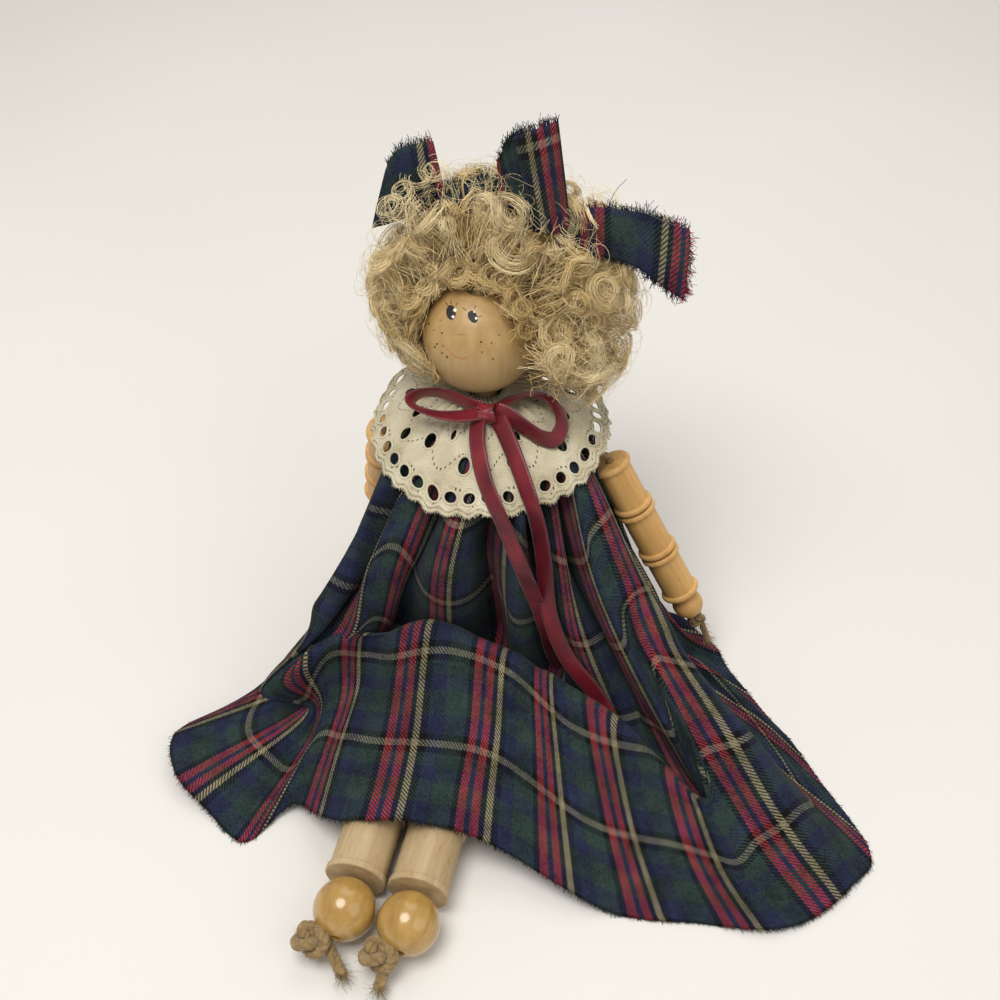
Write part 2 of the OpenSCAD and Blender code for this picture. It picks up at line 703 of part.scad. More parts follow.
module neck_ribbon() {
  color(satin_wine) {
    translate(ribbon_knot)
      sphere(d = ribbon_knot_d);
    strip(ribbon_loop(-1, ribbon_loop_l), [0, 0.26, 0.966], ribbon_w - 1, ribbon_t);
    strip(ribbon_loop(1, ribbon_loop_l + 2), [0, 0.26, 0.966], ribbon_w - 1, ribbon_t);
    strip(curve(tail_a, tail_steps), [1, 0, 0], ribbon_w, ribbon_t);
    strip(curve(tail_b, tail_steps), [1, 0, 0], ribbon_w, ribbon_t);
  }
}

// Wig: lumpy cap round the back, top and sides of the head, open over the face and under the chin
hair_cols = 40;
hair_rows = 12;
hair_room = 0.3;
hair_axis_tilt = 64;
hair_axis_turn = 4;
hair_drop = 14.35;
hair_up = [0, 0.62, 0.785];
hair_side_way = [0.99, 0.1, -0.1];
hair_crown_power = 1.3;
// The rim round the face is rounded off from this share of the way to it
hair_rim_from = 0.7;
hair_rim_flat = 0.8;
hair_edge_side = 102;
hair_edge_up = 74;
hair_edge_down = 62;

function hair_edge(b) =
  let (up = cos(b))
  hair_edge_side + (up > 0 ? (hair_edge_up - hair_edge_side) : (hair_edge_down - hair_edge_side)) * up * up;

// Unit direction at polar angle a and turn b round the hair axis, which points up and back
function hair_dir(a, b) =
  let (x = sin(a) * sin(b), y = sin(a) * cos(b), z = cos(a),
       y2 = y * cos(hair_axis_tilt) - z * sin(hair_axis_tilt),
       z2 = y * sin(hair_axis_tilt) + z * cos(hair_axis_tilt))
  [x * cos(hair_axis_turn) + y2 * sin(hair_axis_turn),
   x * sin(hair_axis_turn) - y2 * cos(hair_axis_turn), z2];

function hair_reach(d) =
  hair_r + hair_crown * pow(max(0, d * hair_up), hair_crown_power) + hair_side * pow(max(0, d * hair_side_way), 2);

function hair_out(a, b) =
  let (d = hair_dir(a, b),
       low = head_r + hair_room,
       rim = max(0, (a / hair_edge(b) - hair_rim_from) / (1 - hair_rim_from)),
       full = hair_reach(d) + hair_lump * sin(6 * b + 40) * sin(5 * a),
       r = low + (full - low) * sqrt(1 - hair_rim_flat * rim * rim))
  d.z < -0.05 ? min(r, hair_drop / -d.z) : r;

module hair_wig() {
  n = hair_cols;
  m = hair_rows;
  function spot(j, i) = let (b = 360 * i / n, a = hair_edge(b) * j / m) [a, b];
  outer = [for (j = [1 : m], i = [0 : n - 1])
    let (s = spot(j, i)) head_pos + hair_dir(s[0], s[1]) * hair_out(s[0], s[1])];
  inner = [for (j = [1 : m], i = [0 : n - 1])
    let (s = spot(j, i)) head_pos + hair_dir(s[0], s[1]) * (head_r + hair_room)];
  tips = [head_pos + hair_dir(0, 0) * hair_out(0, 0), head_pos + hair_dir(0, 0) * (head_r + hair_room)];
  s = n * m;
  function at(j, i) = j * n + i % n;
  faces = concat(
    [for (i = [0 : n - 1]) [2 * s, at(0, i + 1), at(0, i)]],
    [for (i = [0 : n - 1]) [2 * s + 1, s + at(0, i), s + at(0, i + 1)]],
    [for (j = [0 : m - 2], i = [0 : n - 1]) each
      [[at(j, i), at(j, i + 1), at(j + 1, i)], [at(j, i + 1), at(j + 1, i + 1), at(j + 1, i)]]],
    [for (j = [0 : m - 2], i = [0 : n - 1]) each
      [[s + at(j, i), s + at(j + 1, i), s + at(j, i + 1)],
       [s + at(j, i + 1), s + at(j + 1, i), s + at(j + 1, i + 1)]]],
    [for (i = [0 : n - 1]) each
      [[at(m - 1, i), at(m - 1, i + 1), s + at(m - 1, i)],
       [at(m - 1, i + 1), s + at(m - 1, i + 1), s + at(m - 1, i)]]]
  );
  color(blond)
    polyhedron(points = concat(outer, inner, tips), faces = faces);
}

// Hair bow: torn plaid strip tied on top of the wig
bow_knot_d = 8;
bow_seat = 2;
bow_way = [24, 6, 41] / norm([24, 6, 41]);
bow_knot = head_pos + bow_way * (hair_reach(bow_way) + bow_knot_d / 2 + bow_seat);
bow_steps = 14;
bow_loop = [bow_knot + [0, -2.6, 5], bow_knot + [-1, -2, 12], bow_knot + [-4, 3, 22], bow_knot + [-6, 8, 26],
            bow_knot + [-6, 11, 21], bow_knot + [-3, 9, 12], bow_knot + [0, 3.4, 5]];
bow_tail = [bow_knot + [5.4, 0, 0.5], bow_knot + [17, 0, 2], bow_knot + [31, 0, -1], bow_knot + [44, -1, -9]];
// The band lies over the crown: directions from the middle of the head
band_stand = 3.2;
band_ways = [[16, 12, 43], [8, 19, 45], [-4, 25, 41.6], [-17, 26, 37.6], [-30, 22, 31], [-39, 19, 23]];
bow_band = concat([bow_knot + [-5, 3, 2]],
  [for (w = band_ways) let (d = w / norm(w)) head_pos + d * (hair_reach(d) + hair_lump + band_stand)]);
bow_lean = [0, 0.62, 0.785];

module hair_bow() {
  color(plaid_navy) {
    translate(bow_knot)
      sphere(d = bow_knot_d);
    strip(curve(bow_loop, bow_steps), [0.98, 0.2, 0], bow_w, bow_t);
    strip(curve(bow_tail, bow_steps), bow_lean, bow_w - 3, bow_t);
    strip(curve(bow_band, bow_steps), [0, 0.785, -0.62], bow_w - 3, bow_t);
  }
}

lower_body_spool();
upper_body_spool();
neck_bead();
spine_twine();
shoulder_twine();
hip_twine();
dress();
lace_collar();
neck_ribbon();
head_ball();
hair_wig();
hair_bow();
arm_spool(1, 0);  // left_upper_arm_spool
arm_spool(1, 1);  // left_middle_arm_spool
arm_spool(1, 2);  // left_lower_arm_spool
hand_bead(1);  // left_hand_bead
arm_twine(1, 0);  // left_upper_arm_twine
arm_twine(1, 1);  // left_middle_arm_twine
arm_twine(1, 2);  // left_lower_arm_twine
hand_knot(1);  // left_hand_knot
arm_spool(-1, 0);  // right_upper_arm_spool
arm_spool(-1, 1);  // right_middle_arm_spool
arm_spool(-1, 2);  // right_lower_arm_spool
hand_bead(-1);  // right_hand_bead
arm_twine(-1, 0);  // right_upper_arm_twine
arm_twine(-1, 1);  // right_middle_arm_twine
arm_twine(-1, 2);  // right_lower_arm_twine
hand_knot(-1);  // right_hand_knot
leg_spool(1, 0);  // left_thigh_spool
leg_spool(1, 1);  // left_knee_spool
leg_spool(1, 2);  // left_calf_spool
leg_spool(1, 3);  // left_ankle_spool
foot_bead(1);  // left_foot_bead
leg_twine(1, 0);  // left_thigh_twine
leg_twine(1, 1);  // left_knee_twine
leg_twine(1, 2);  // left_calf_twine
leg_twine(1, 3);  // left_ankle_twine
foot_knot(1);  // left_foot_knot
leg_spool(-1, 0);  // right_thigh_spool
leg_spool(-1, 1);  // right_knee_spool
leg_spool(-1, 2);  // right_calf_spool
leg_spool(-1, 3);  // right_ankle_spool
foot_bead(-1);  // right_foot_bead
leg_twine(-1, 0);  // right_thigh_twine
leg_twine(-1, 1);  // right_knee_twine
leg_twine(-1, 2);  // right_calf_twine
leg_twine(-1, 3);  // right_ankle_twine
foot_knot(-1);  // right_foot_knot
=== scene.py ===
"""The spool doll's looks: cloth, lace, ribbon, hair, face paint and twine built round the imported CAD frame.

Sizes are in millimetres and become metres where a mesh is made. +Z is up and the doll faces -Y.
"""

import math

import bpy
import numpy as np
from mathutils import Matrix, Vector
from mathutils.bvhtree import BVHTree
from mathutils.geometry import delaunay_2d_cdt


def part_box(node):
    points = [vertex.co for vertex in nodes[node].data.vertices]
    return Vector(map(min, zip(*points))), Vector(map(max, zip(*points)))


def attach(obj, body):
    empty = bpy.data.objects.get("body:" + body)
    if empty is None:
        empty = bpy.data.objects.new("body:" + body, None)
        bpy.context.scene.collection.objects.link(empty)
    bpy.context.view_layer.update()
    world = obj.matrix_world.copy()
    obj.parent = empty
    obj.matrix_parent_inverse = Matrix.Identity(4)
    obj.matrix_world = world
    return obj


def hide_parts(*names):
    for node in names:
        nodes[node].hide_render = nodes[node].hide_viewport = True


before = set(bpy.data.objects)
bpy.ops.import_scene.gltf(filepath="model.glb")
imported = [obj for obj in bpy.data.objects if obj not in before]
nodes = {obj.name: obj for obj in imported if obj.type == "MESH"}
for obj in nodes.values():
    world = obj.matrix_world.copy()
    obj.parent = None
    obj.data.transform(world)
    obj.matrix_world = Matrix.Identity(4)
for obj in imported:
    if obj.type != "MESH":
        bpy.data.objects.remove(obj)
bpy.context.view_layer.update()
scene = bpy.context.scene
MM = 0.001

# ---- the doll's sizes, as in part.scad
HEAD_AT = np.array([-3.0, 6.0, 123.35])
HEAD_R = 19.0
NECK_Z = 102.4
NECK_MID = np.array([-1.5, 3.0])
BODY_TOP = 95.0
DRESS_NECK_R = 7.8
DRESS_SHOULDER_R = 25.0
DRESS_SHOULDER_Z = 96.4
DRESS_EDGE_Z = 93.5
COLLAR_NECK_R = 6.4
COLLAR_R = 40.0
COLLAR_NECK_Z = 103.9
COLLAR_SIDE_Z = 93.0
COLLAR_DROP = 5.0
COLLAR_LOWEST = np.array([-0.5, -0.866])
# The edge stands up a little over the right arm, which swings up under it.
RAISED_ARM, ARM_ROOM = np.array([-0.99, 0.14]), 1.6
COLLAR_MID = np.array([0.9, -3.0])
RIBBON_W = 6.0
KNOT_AT = np.array([0.0, -12.0, 106.9])
HAIR_R = 37.0
HAIR_CROWN = 16.5
HAIR_UP = np.array([0.0, 0.62, 0.785])
HAIR_LOW_Z = 108.0
BOW_AT = np.array([21.0, 12.0, 164.35])
UP = np.array([0.0, 0.0, 1.0])
LEVEL = np.array([1.0, 0.0, 0.0])
LEG_YAW = math.radians(10.5)
LEG_WAY = np.array([-math.sin(LEG_YAW), -math.cos(LEG_YAW), 0.0])
ARM_WAYS = {"left": np.array([0.474, -0.208, -0.856]), "right": np.array([-0.127, 0.407, -0.905])}
ARM_STARTS = {"left": np.array([40.5, -9.5, 85.4]), "right": np.array([-36.0, 3.0, 83.0])}
ARM_REACH = 72.0

# ---- the photograph's camera
CAMERA_AT = np.array([19.9, -327.13, 392.56])
CAMERA_TARGET = np.array([4.28, -7.8, 60.21])
CAMERA_LENS = 46.8
SENSOR = 36.0
PICTURE = 1000.0


def unit(v):
    v = np.asarray(v, float)
    return v / np.maximum(np.linalg.norm(v, axis=-1, keepdims=True), 1e-9)


VIEW = unit(CAMERA_TARGET - CAMERA_AT)
VIEW_RIGHT = unit(np.cross(VIEW, UP))
VIEW_UP = np.cross(VIEW_RIGHT, VIEW)


def pixel_ray(px, py):
    """Direction from the camera through a pixel of the photograph."""
    reach = PICTURE * CAMERA_LENS / SENSOR
    return unit(VIEW * reach + VIEW_RIGHT * (px - PICTURE / 2) - VIEW_UP * (py - PICTURE / 2))


def on_plane(px, py, at, normal=VIEW):
    """The point that a pixel shows of the plane through at, which faces the camera if no normal is given."""
    ray = pixel_ray(px, py)
    return CAMERA_AT + ray * (((at - CAMERA_AT) @ normal) / (ray @ normal))


def on_head(px, py, stand=0.0):
    """The point of the head ball that a pixel of the photograph shows."""
    ray = pixel_ray(px, py)
    back = CAMERA_AT - HEAD_AT
    along = ray @ back
    inside = along * along - back @ back + HEAD_R ** 2
    hit = CAMERA_AT + ray * (-along - math.sqrt(max(inside, 0.0)))
    return HEAD_AT + unit(hit - HEAD_AT) * (HEAD_R + stand)


# ---- mesh helpers
def ease(x):
    """A step from 0 to 1 with level ends."""
    x = np.clip(x, 0, 1)
    return x * x * (3 - 2 * x)


def catmull(a, b, c, d, s):
    """The Catmull-Rom curve between b and c at the shares s."""
    return 0.5 * (2 * b + (c - a) * s + (2 * a - 5 * b + 4 * c - d) * s ** 2 + (3 * b - a - 3 * c + d) * s ** 3)


def run_of(line):
    """The distance along a line of points at each of them."""
    return np.concatenate([[0], np.cumsum(np.linalg.norm(np.diff(line, axis=0), axis=1))])


def spline(points, count, fine=24):
    """Catmull-Rom curve through the points, as count points evenly spaced along it."""
    p = np.asarray(points, float)
    p = np.vstack([2 * p[0] - p[1], p, 2 * p[-1] - p[-2]])
    s = np.linspace(0, 1, fine, endpoint=False)[:, None]
    curve = np.vstack([*(catmull(*four, s) for four in zip(p, p[1:], p[2:], p[3:])), p[-2]])
    at = run_of(curve)
    want = np.linspace(0, at[-1], count)
    return np.stack([np.interp(want, at, axis) for axis in curve.T], 1)


def grid_faces(rows, columns, wrap=False):
    """Quads of a grid whose vertex index is row * columns + column."""
    r, c = np.meshgrid(np.arange(rows - 1), np.arange(columns if wrap else columns - 1), indexing="ij")
    n = (c + 1) % columns
    quads = np.stack([r * columns + c, r * columns + n, (r + 1) * columns + n, (r + 1) * columns + c], -1)
    return quads.reshape(-1, 4)


def make_piece(name, points, faces, material, body=None, slot=None, replaces=None, uv=None, tone=None, thick=0.0,
               weld=0.0):
    """A new mesh object from points in millimetres. It rides on a body and may stand for a CAD node.

    uv is in metres: one for all, per vertex or per face corner. thick and weld are the cloth's modifiers.
    """
    mesh = bpy.data.meshes.new(name)
    mesh.from_pydata((np.asarray(points, float).reshape(-1, 3) * MM).tolist(), [],
                     faces.tolist() if isinstance(faces, np.ndarray) else faces)
    mesh.polygons.foreach_set("use_smooth", np.ones(len(mesh.polygons), bool))
    mesh.materials.append(material)
    if uv is not None:
        uv = np.asarray(uv, float).reshape(-1, 2)
        if len(uv) == 1:
            uv = np.repeat(uv, len(mesh.loops), 0)
        elif len(uv) != len(mesh.loops):
            corner = np.empty(len(mesh.loops), np.int32)
            mesh.loops.foreach_get("vertex_index", corner)
            uv = uv[corner]
        mesh.uv_layers.new(name="cloth").data.foreach_set("uv", uv.astype(np.float32).ravel())
    if tone is not None:
        mesh.attributes.new("tone", "FLOAT", "POINT").data.foreach_set("value", np.asarray(tone, np.float32))
    piece = bpy.data.objects.new(name, mesh)
    scene.collection.objects.link(piece)
    if weld:
        piece.modifiers.new("weld", "WELD").merge_threshold = weld * MM
    if thick:
        skin = piece.modifiers.new("cloth", "SOLIDIFY")
        skin.thickness, skin.offset = thick * MM, 0.0
    if body:
        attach(piece, body)
    if replaces:
        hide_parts(replaces)
    return piece


def tubes(paths, radius, sides=3, tip=1.0):
    """Closed tubes round many paths of one point count: (points, faces). tip scales the far end's radius."""
    paths = np.asarray(paths, float)
    many, count, _ = paths.shape
    ahead = unit(np.gradient(paths, axis=1))
    other = np.where(np.abs(ahead[..., 2:3]) > 0.92, LEVEL, UP)
    side = unit(np.cross(ahead, other))
    top = np.cross(side, ahead)
    turn = np.arange(sides) * 2 * math.pi / sides
    size = np.broadcast_to(np.asarray(radius, float).reshape(-1, 1), (many, 1)) * np.linspace(1, tip, count)
    ring = side[:, :, None] * np.cos(turn)[:, None] + top[:, :, None] * np.sin(turn)[:, None]
    points = paths[:, :, None] + ring * size[:, :, None, None]
    base = grid_faces(count, sides, wrap=True)
    shift = (np.arange(many) * count * sides)[:, None, None]
    faces = (base[None] + shift).reshape(-1, 4).tolist()
    for end in (np.arange(sides)[::-1], np.arange(sides) + (count - 1) * sides):
        faces += (end[None] + shift[:, 0]).tolist()
    return points.reshape(-1, 3), faces


def coil(right, top, turn, size):
    """Steps off an axis to the angles turn at a distance of size."""
    return right * (size * np.cos(turn))[:, None] + top * (size * np.sin(turn))[:, None]


def creases(noise, along, across, waves, fade=0):
    """Random waves over a strip of cloth. fade weakens the short ones."""
    return sum(noise.normal(0, 1) / n ** fade
               * np.sin(2 * math.pi * (n * along + noise.random() + across * noise.uniform(-1, 1))) for n in waves)


def cloth_grid(along, across):
    """The UVs of a grid of cloth from its places along and across, in millimetres."""
    return np.stack(np.broadcast_arrays(along[:, None], across[None]), -1) * MM


def threads(root, way, bend, reach, sink=0.0):
    """Short bent fibres from root along way: paths of three points."""
    return np.stack([root - sink, root + way * reach * 0.5, root + (way + bend) * reach], 1)


def joined(*parts):
    """Several (points, faces) as one."""
    points, faces, at = [], [], 0
    for part_points, part_faces in parts:
        points.append(part_points)
        faces += [tuple(i + at for i in face) for face in part_faces]
        at += len(part_points)
    return np.vstack(points), faces


def push_clear(points, start, end, radius, toward=None):
    """Moves points that lie within radius of the line start-end out to it, on the side of toward if that is given."""
    start, end = np.asarray(start, float), np.asarray(end, float)
    along = end - start
    t = np.clip(((points - start) @ along) / (along @ along), 0, 1)
    foot = start + t[..., None] * along
    off = points - foot
    if toward is not None:
        across = unit(toward - along * (toward @ along) / (along @ along))
        off = off - 2 * np.minimum(0, off @ across)[..., None] * across
    far = np.linalg.norm(off, axis=-1, keepdims=True)
    return np.where(far < radius, foot + off / np.maximum(far, 1e-6) * radius, points)


# ---- materials
def rgb(r, g, b):
    """An sRGB colour of 0 to 255 as the linear colour that shader sockets take."""
    return tuple((c / 255 / 12.92 if c / 255 <= 0.04045 else ((c / 255 + 0.055) / 1.055) ** 2.4)
                 for c in (r, g, b)) + (1.0,)


BLACK, WHITE = (0.0, 0.0, 0.0, 1.0), (1.0, 1.0, 1.0, 1.0)


class Paint:
    """A node material under construction."""

    def __init__(self, name, roughness=0.6, sheen=0.0, sheen_roughness=0.5, coat=0.0):
        self.material = bpy.data.materials.new(name)
        self.material.use_nodes = True
        self.tree = self.material.node_tree
        self.shader = self.tree.nodes["Principled BSDF"]
        self.shader.inputs["Roughness"].default_value = roughness
        self.shader.inputs["Sheen Weight"].default_value = sheen
        self.shader.inputs["Sheen Roughness"].default_value = sheen_roughness
        self.shader.inputs["Coat Weight"].default_value = coat

    def put(self, socket, value):
        if isinstance(value, bpy.types.NodeSocket):
            self.tree.links.new(value, socket)
        else:
            socket.default_value = value

    def node(self, kind, inputs=(), **settings):
        made = self.tree.nodes.new("ShaderNode" + kind)
        for key, value in settings.items():
            setattr(made, key, value)
        for key, value in dict(inputs).items():
            self.put(made.inputs[key], value)
        return made

    def math(self, operation, a, b=0.0):
        return self.node("Math", {0: a, 1: b}, operation=operation).outputs[0]

    def blend(self, a, share, b, other):
        """A share of a plus another of b."""
        return self.math("ADD", self.math("MULTIPLY", a, share), self.math("MULTIPLY", b, other))

    def wave(self, a, rate):
        return self.math("SINE", self.math("MULTIPLY", a, rate))

    def part_of(self, a, repeat):
        """How far a is through its repeat, from 0 to 1."""
        return self.math("FRACT", self.math("DIVIDE", a, repeat))

    def mix(self, factor, a, b, how="MIX"):
        return self.node("Mix", {0: factor, 6: a, 7: b}, data_type="RGBA", blend_type=how).outputs[2]

    def place(self):
        return self.node("TexCoord").outputs["Object"]

    def cloth_uv(self):
        parts = self.node("SeparateXYZ", {0: self.node("UVMap", uv_map="cloth").outputs[0]})
        return parts.outputs[0], parts.outputs[1]

    def noise(self, scale, where, detail=3.0, rough=0.55):
        return self.node("TexNoise", {"Vector": where, "Scale": scale, "Detail": detail,
                                      "Roughness": rough}).outputs[0]

    def ramp(self, factor, stops):
        made = self.node("ValToRGB", {0: factor})
        line = made.color_ramp.elements
        line[0].position, line[0].color = stops[0]
        line[1].position, line[1].color = stops[-1]
        for position, colour in stops[1:-1]:
            line.new(position).color = colour
        return made.outputs[0]

    def along(self, axis, squeeze, where):
        """Object coordinates pressed together along an axis, so that a noise runs with the grain."""
        d = self.node("VectorMath", {0: where, 1: axis}, operation="DOT_PRODUCT").outputs["Value"]
        step = self.node("VectorMath", {0: axis, "Scale": self.math("MULTIPLY", d, 1 - squeeze)},
                         operation="SCALE").outputs[0]
        return self.node("VectorMath", {0: where, 1: step}, operation="SUBTRACT").outputs[0]

    def finish(self, colour, height=None, strength=0.3, depth=0.0003, roughness=None):
        self.put(self.shader.inputs["Base Color"], colour)
        if roughness is not None:
            self.put(self.shader.inputs["Roughness"], roughness)
        if height is not None:
            bump = self.node("Bump", {"Height": height, "Strength": strength, "Distance": depth})
            self.put(self.shader.inputs["Normal"], bump.outputs[0])
        return self.material


def wood(name, pale, dark, axis, roughness, coat=0.0, fleck=0.25, fine=900.0, painted_shade_low=None):
    """Turned wood: grain along the axis, pores as short dark flecks, varied tone.

    The last argument gives the greyer tint of painted shade on a lower part, and the heights between which it fades in.
    """
    p = Paint(name, roughness, coat=coat)
    where = p.place()
    grain = p.along(axis, 0.06, where)
    bands = p.noise(260.0, grain, 5.0, 0.6)
    cloud = p.noise(45.0, where, 2.0)
    pores = p.noise(fine, p.along(axis, 0.12, where), 2.0, 0.7)
    tone = p.blend(bands, 0.65, cloud, 0.35)
    colour = p.ramp(tone, [(0.30, dark), (0.62, pale)])
    spots = p.ramp(pores, [(0.30, (fleck, fleck, fleck, 1)), (0.42, BLACK)])
    colour = p.mix(spots, colour, dark, "MULTIPLY")
    # Painted shade: the colour turns greyer towards the bottom, between the two heights.
    if painted_shade_low:
        shade_tint, low, high = painted_shade_low
        height = p.node("SeparateXYZ", {0: where}).outputs[2]
        share = p.node("MapRange", {0: height, 1: high * MM, 2: low * MM}).outputs[0]
        colour = p.mix(share, colour, p.mix(1.0, colour, shade_tint, "MULTIPLY"))
    shine = p.math("ADD", p.math("MULTIPLY", bands, 0.18), roughness - 0.09)
    return p.finish(colour, p.math("ADD", bands, pores), 0.12, 0.0002, shine)


def jute(name):
    p = Paint(name, 0.95, sheen=0.25)
    where = p.place()
    fibre = p.noise(2600.0, where, 4.0, 0.7)
    cloud = p.noise(420.0, where, 2.0)
    tone = p.blend(fibre, 0.6, cloud, 0.4)
    colour = p.ramp(tone, [(0.30, rgb(96, 74, 44)), (0.52, rgb(150, 124, 80)), (0.72, rgb(186, 162, 116))])
    return p.finish(colour, fibre, 0.6, 0.0004)


PLAID_REPEAT = 0.030
TWILL = 0.0013
RED, NAVY, GREEN = rgb(188, 66, 76), rgb(48, 56, 86), rgb(57, 76, 73)
DARK, YELLOW, CREAM = rgb(26, 27, 30), rgb(188, 174, 132), rgb(142, 139, 120)
# Where each stripe of the warp and of the weft starts, as a share of the repeat.
WARP = [(0.0, RED), (0.10, NAVY), (0.16, RED), (0.25, DARK), (0.31, YELLOW), (0.385, DARK), (0.47, NAVY),
        (0.66, GREEN), (0.93, DARK)]
WEFT = [(0.0, CREAM), (0.075, DARK), (0.15, NAVY), (0.36, GREEN), (0.62, NAVY), (0.78, GREEN), (0.93, DARK)]
STRIPE_BLUR = 0.012


def stripes(starts):
    """Ramp stops for stripes whose edges blur a little into each other."""
    stops = [(0.0, starts[0][1])]
    for (_, before), (at, after) in zip(starts, starts[1:]):
        stops += [(at - STRIPE_BLUR / 2, before), (at + STRIPE_BLUR / 2, after)]
    return stops + [(1.0, starts[-1][1])]


def plaid(name, nap=0.12):
    """Twill woven from striped warp and weft, brushed to a soft nap. UVs are metres of cloth."""
    p = Paint(name, 1.0, sheen=0.02, sheen_roughness=0.6)
    p.shader.inputs["Specular IOR Level"].default_value = 0.15
    u, v = p.cloth_uv()
    where = p.place()
    warp = p.ramp(p.part_of(u, PLAID_REPEAT), stripes(WARP))
    weft = p.ramp(p.part_of(v, PLAID_REPEAT), stripes(WEFT))
    rib = p.part_of(p.math("ADD", u, v), TWILL)
    over = p.ramp(rib, [(0.0, BLACK), (0.42, BLACK), (0.58, WHITE), (1.0, WHITE)])
    woven = p.mix(over, warp, weft)
    brushed = p.mix(nap, woven, p.mix(0.5, warp, weft))
    fuzz = p.noise(1100.0, where, 4.0, 0.8)
    cloud = p.noise(110.0, where, 4.0, 0.6)
    tone = p.blend(fuzz, 0.7, cloud, 0.5)
    shade = p.ramp(tone, [(0.40, (0.14, 0.14, 0.15, 1)), (0.80, (0.92, 0.91, 0.90, 1))])
    colour = p.mix(1.0, brushed, shade, "MULTIPLY")
    return p.finish(colour, p.math("ADD", fuzz, p.math("MULTIPLY", rib, 0.5)), 0.5, 0.0004)


# The collar's pin dots run in waved rows: the steps between dots and rows, the wave's length, the first row.
PIN_DOT_STEP, PIN_ROW_STEP, PIN_ROW_WAVE, PIN_ROWS_FROM = 0.0017, 0.0085, 0.0205, 0.010
LACE_THREAD_RATE, SATIN_RIB_RATE = 9000.0, 7000.0


def lace(name):
    p = Paint(name, 0.9, sheen=0.2)
    u, v = p.cloth_uv()
    where = p.place()
    weave = p.math("ADD", p.wave(u, LACE_THREAD_RATE), p.wave(v, LACE_THREAD_RATE))
    cloud = p.noise(90.0, where, 3.0)
    fuzz = p.noise(2200.0, where, 3.0, 0.7)
    tone = p.blend(cloud, 0.6, fuzz, 0.4)
    waved = p.math("MULTIPLY", p.wave(u, 2 * math.pi / PIN_ROW_WAVE), 0.3)
    row = p.math("SUBTRACT", p.math("FRACT", p.math("ADD", p.math("DIVIDE", v, PIN_ROW_STEP), waved)), 0.5)
    across = p.math("MULTIPLY", row, PIN_ROW_STEP / PIN_DOT_STEP)
    along = p.math("SUBTRACT", p.part_of(u, PIN_DOT_STEP), 0.5)
    away = p.math("ADD", p.math("MULTIPLY", along, along), p.math("MULTIPLY", across, across))
    dots = p.math("MULTIPLY", p.math("LESS_THAN", away, 0.045), p.math("GREATER_THAN", v, PIN_ROWS_FROM))
    colour = p.ramp(tone, [(0.32, rgb(170, 159, 129)), (0.5, rgb(200, 191, 163)), (0.7, rgb(226, 219, 198))])
    colour = p.mix(dots, colour, rgb(86, 74, 58))
    return p.finish(colour, p.math("ADD", weave, p.math("MULTIPLY", fuzz, 2.0)), 0.35, 0.0002)


# The ribbon's edge stitches: their step, and the share of its width where they start.
STITCH_STEP, STITCH_FROM = 0.0011, 0.42


def satin(name):
    p = Paint(name, 0.42, sheen=0.2, sheen_roughness=0.35)
    u, v = p.cloth_uv()
    ribs = p.wave(u, SATIN_RIB_RATE)
    # Darker and brighter patches from a noise: partly the satin's own tone, and at the bright end painted sheen
    # highlights.
    cloud = p.noise(60.0, p.place(), 2.0)
    colour = p.ramp(cloud, [(0.3, rgb(76, 12, 25)), (0.5, rgb(106, 19, 33)), (0.72, rgb(138, 36, 46))])
    edge = p.math("GREATER_THAN", p.math("ABSOLUTE", v), RIBBON_W * MM * STITCH_FROM)
    dots = p.math("GREATER_THAN", p.wave(u, 2 * math.pi / STITCH_STEP), 0.1)
    stitch = p.math("MULTIPLY", edge, dots)
    colour = p.mix(stitch, colour, rgb(62, 6, 18))
    return p.finish(colour, p.math("ADD", p.math("MULTIPLY", ribs, 0.3), stitch), 0.25, 0.0002)


def curls(name):
    p = Paint(name, 0.42, sheen=0.15)
    # The strands' tone runs from painted shade inside the wig to painted highlights on the outer curls.
    tone = p.node("Attribute", attribute_name="tone").outputs["Fac"]
    cloud = p.noise(120.0, p.place(), 2.0)
    mixed = p.blend(tone, 0.7, cloud, 0.3)
    colour = p.ramp(mixed, [(0.10, rgb(150, 116, 60)), (0.42, rgb(216, 186, 122)), (0.85, rgb(250, 234, 190))])
    return p.finish(colour)


def gloss_paint(name, colour, other, roughness=0.35):
    p = Paint(name, roughness)
    cloud = p.noise(900.0, p.place(), 2.0)
    return p.finish(p.ramp(cloud, [(0.3, colour), (0.7, other)]), cloud, 0.1, 0.0001)


# The head's lower part gets a greyer tint as painted shade under the chin.
head_wood = wood("head_wood", rgb(184, 152, 100), rgb(156, 122, 72), UP, 0.5, coat=0.15, fleck=0.1,
                 painted_shade_low=((0.86, 0.94, 1.06, 1), 112, 132))
body_wood = wood("body_wood", rgb(188, 158, 108), rgb(156, 122, 74), UP, 0.6)
arm_wood = {side: wood(side + "_arm_wood", rgb(222, 178, 110), rgb(186, 138, 76), way, 0.5)
            for side, way in ARM_WAYS.items()}
leg_wood = wood("leg_wood", rgb(198, 176, 138), rgb(168, 140, 99), LEG_WAY, 0.7, fleck=0.35, fine=1400.0)
foot_wood = wood("foot_wood", rgb(188, 152, 84), rgb(156, 116, 56), LEG_WAY, 0.22, coat=0.6, fleck=0.1)
jute_twine = jute("jute_twine")
flannel = plaid("plaid_flannel")
eyelet = lace("eyelet_lace")
ribbon_satin = satin("satin_ribbon")
hair_fibre = curls("wig_curls")

for name, piece in nodes.items():
    if "twine" in name or "knot" in name:
        finish = jute_twine
    elif name == "head_ball":
        finish = head_wood
    elif "hand_bead" in name or "arm_spool" in name:
        finish = arm_wood["left" if name.startswith("left") else "right"]
    elif "foot_bead" in name:
        finish = foot_wood
    elif "spool" in name and name.startswith(("left", "right")):
        finish = leg_wood
    else:
        finish = body_wood
    piece.data.materials.clear()
    piece.data.materials.append(finish)

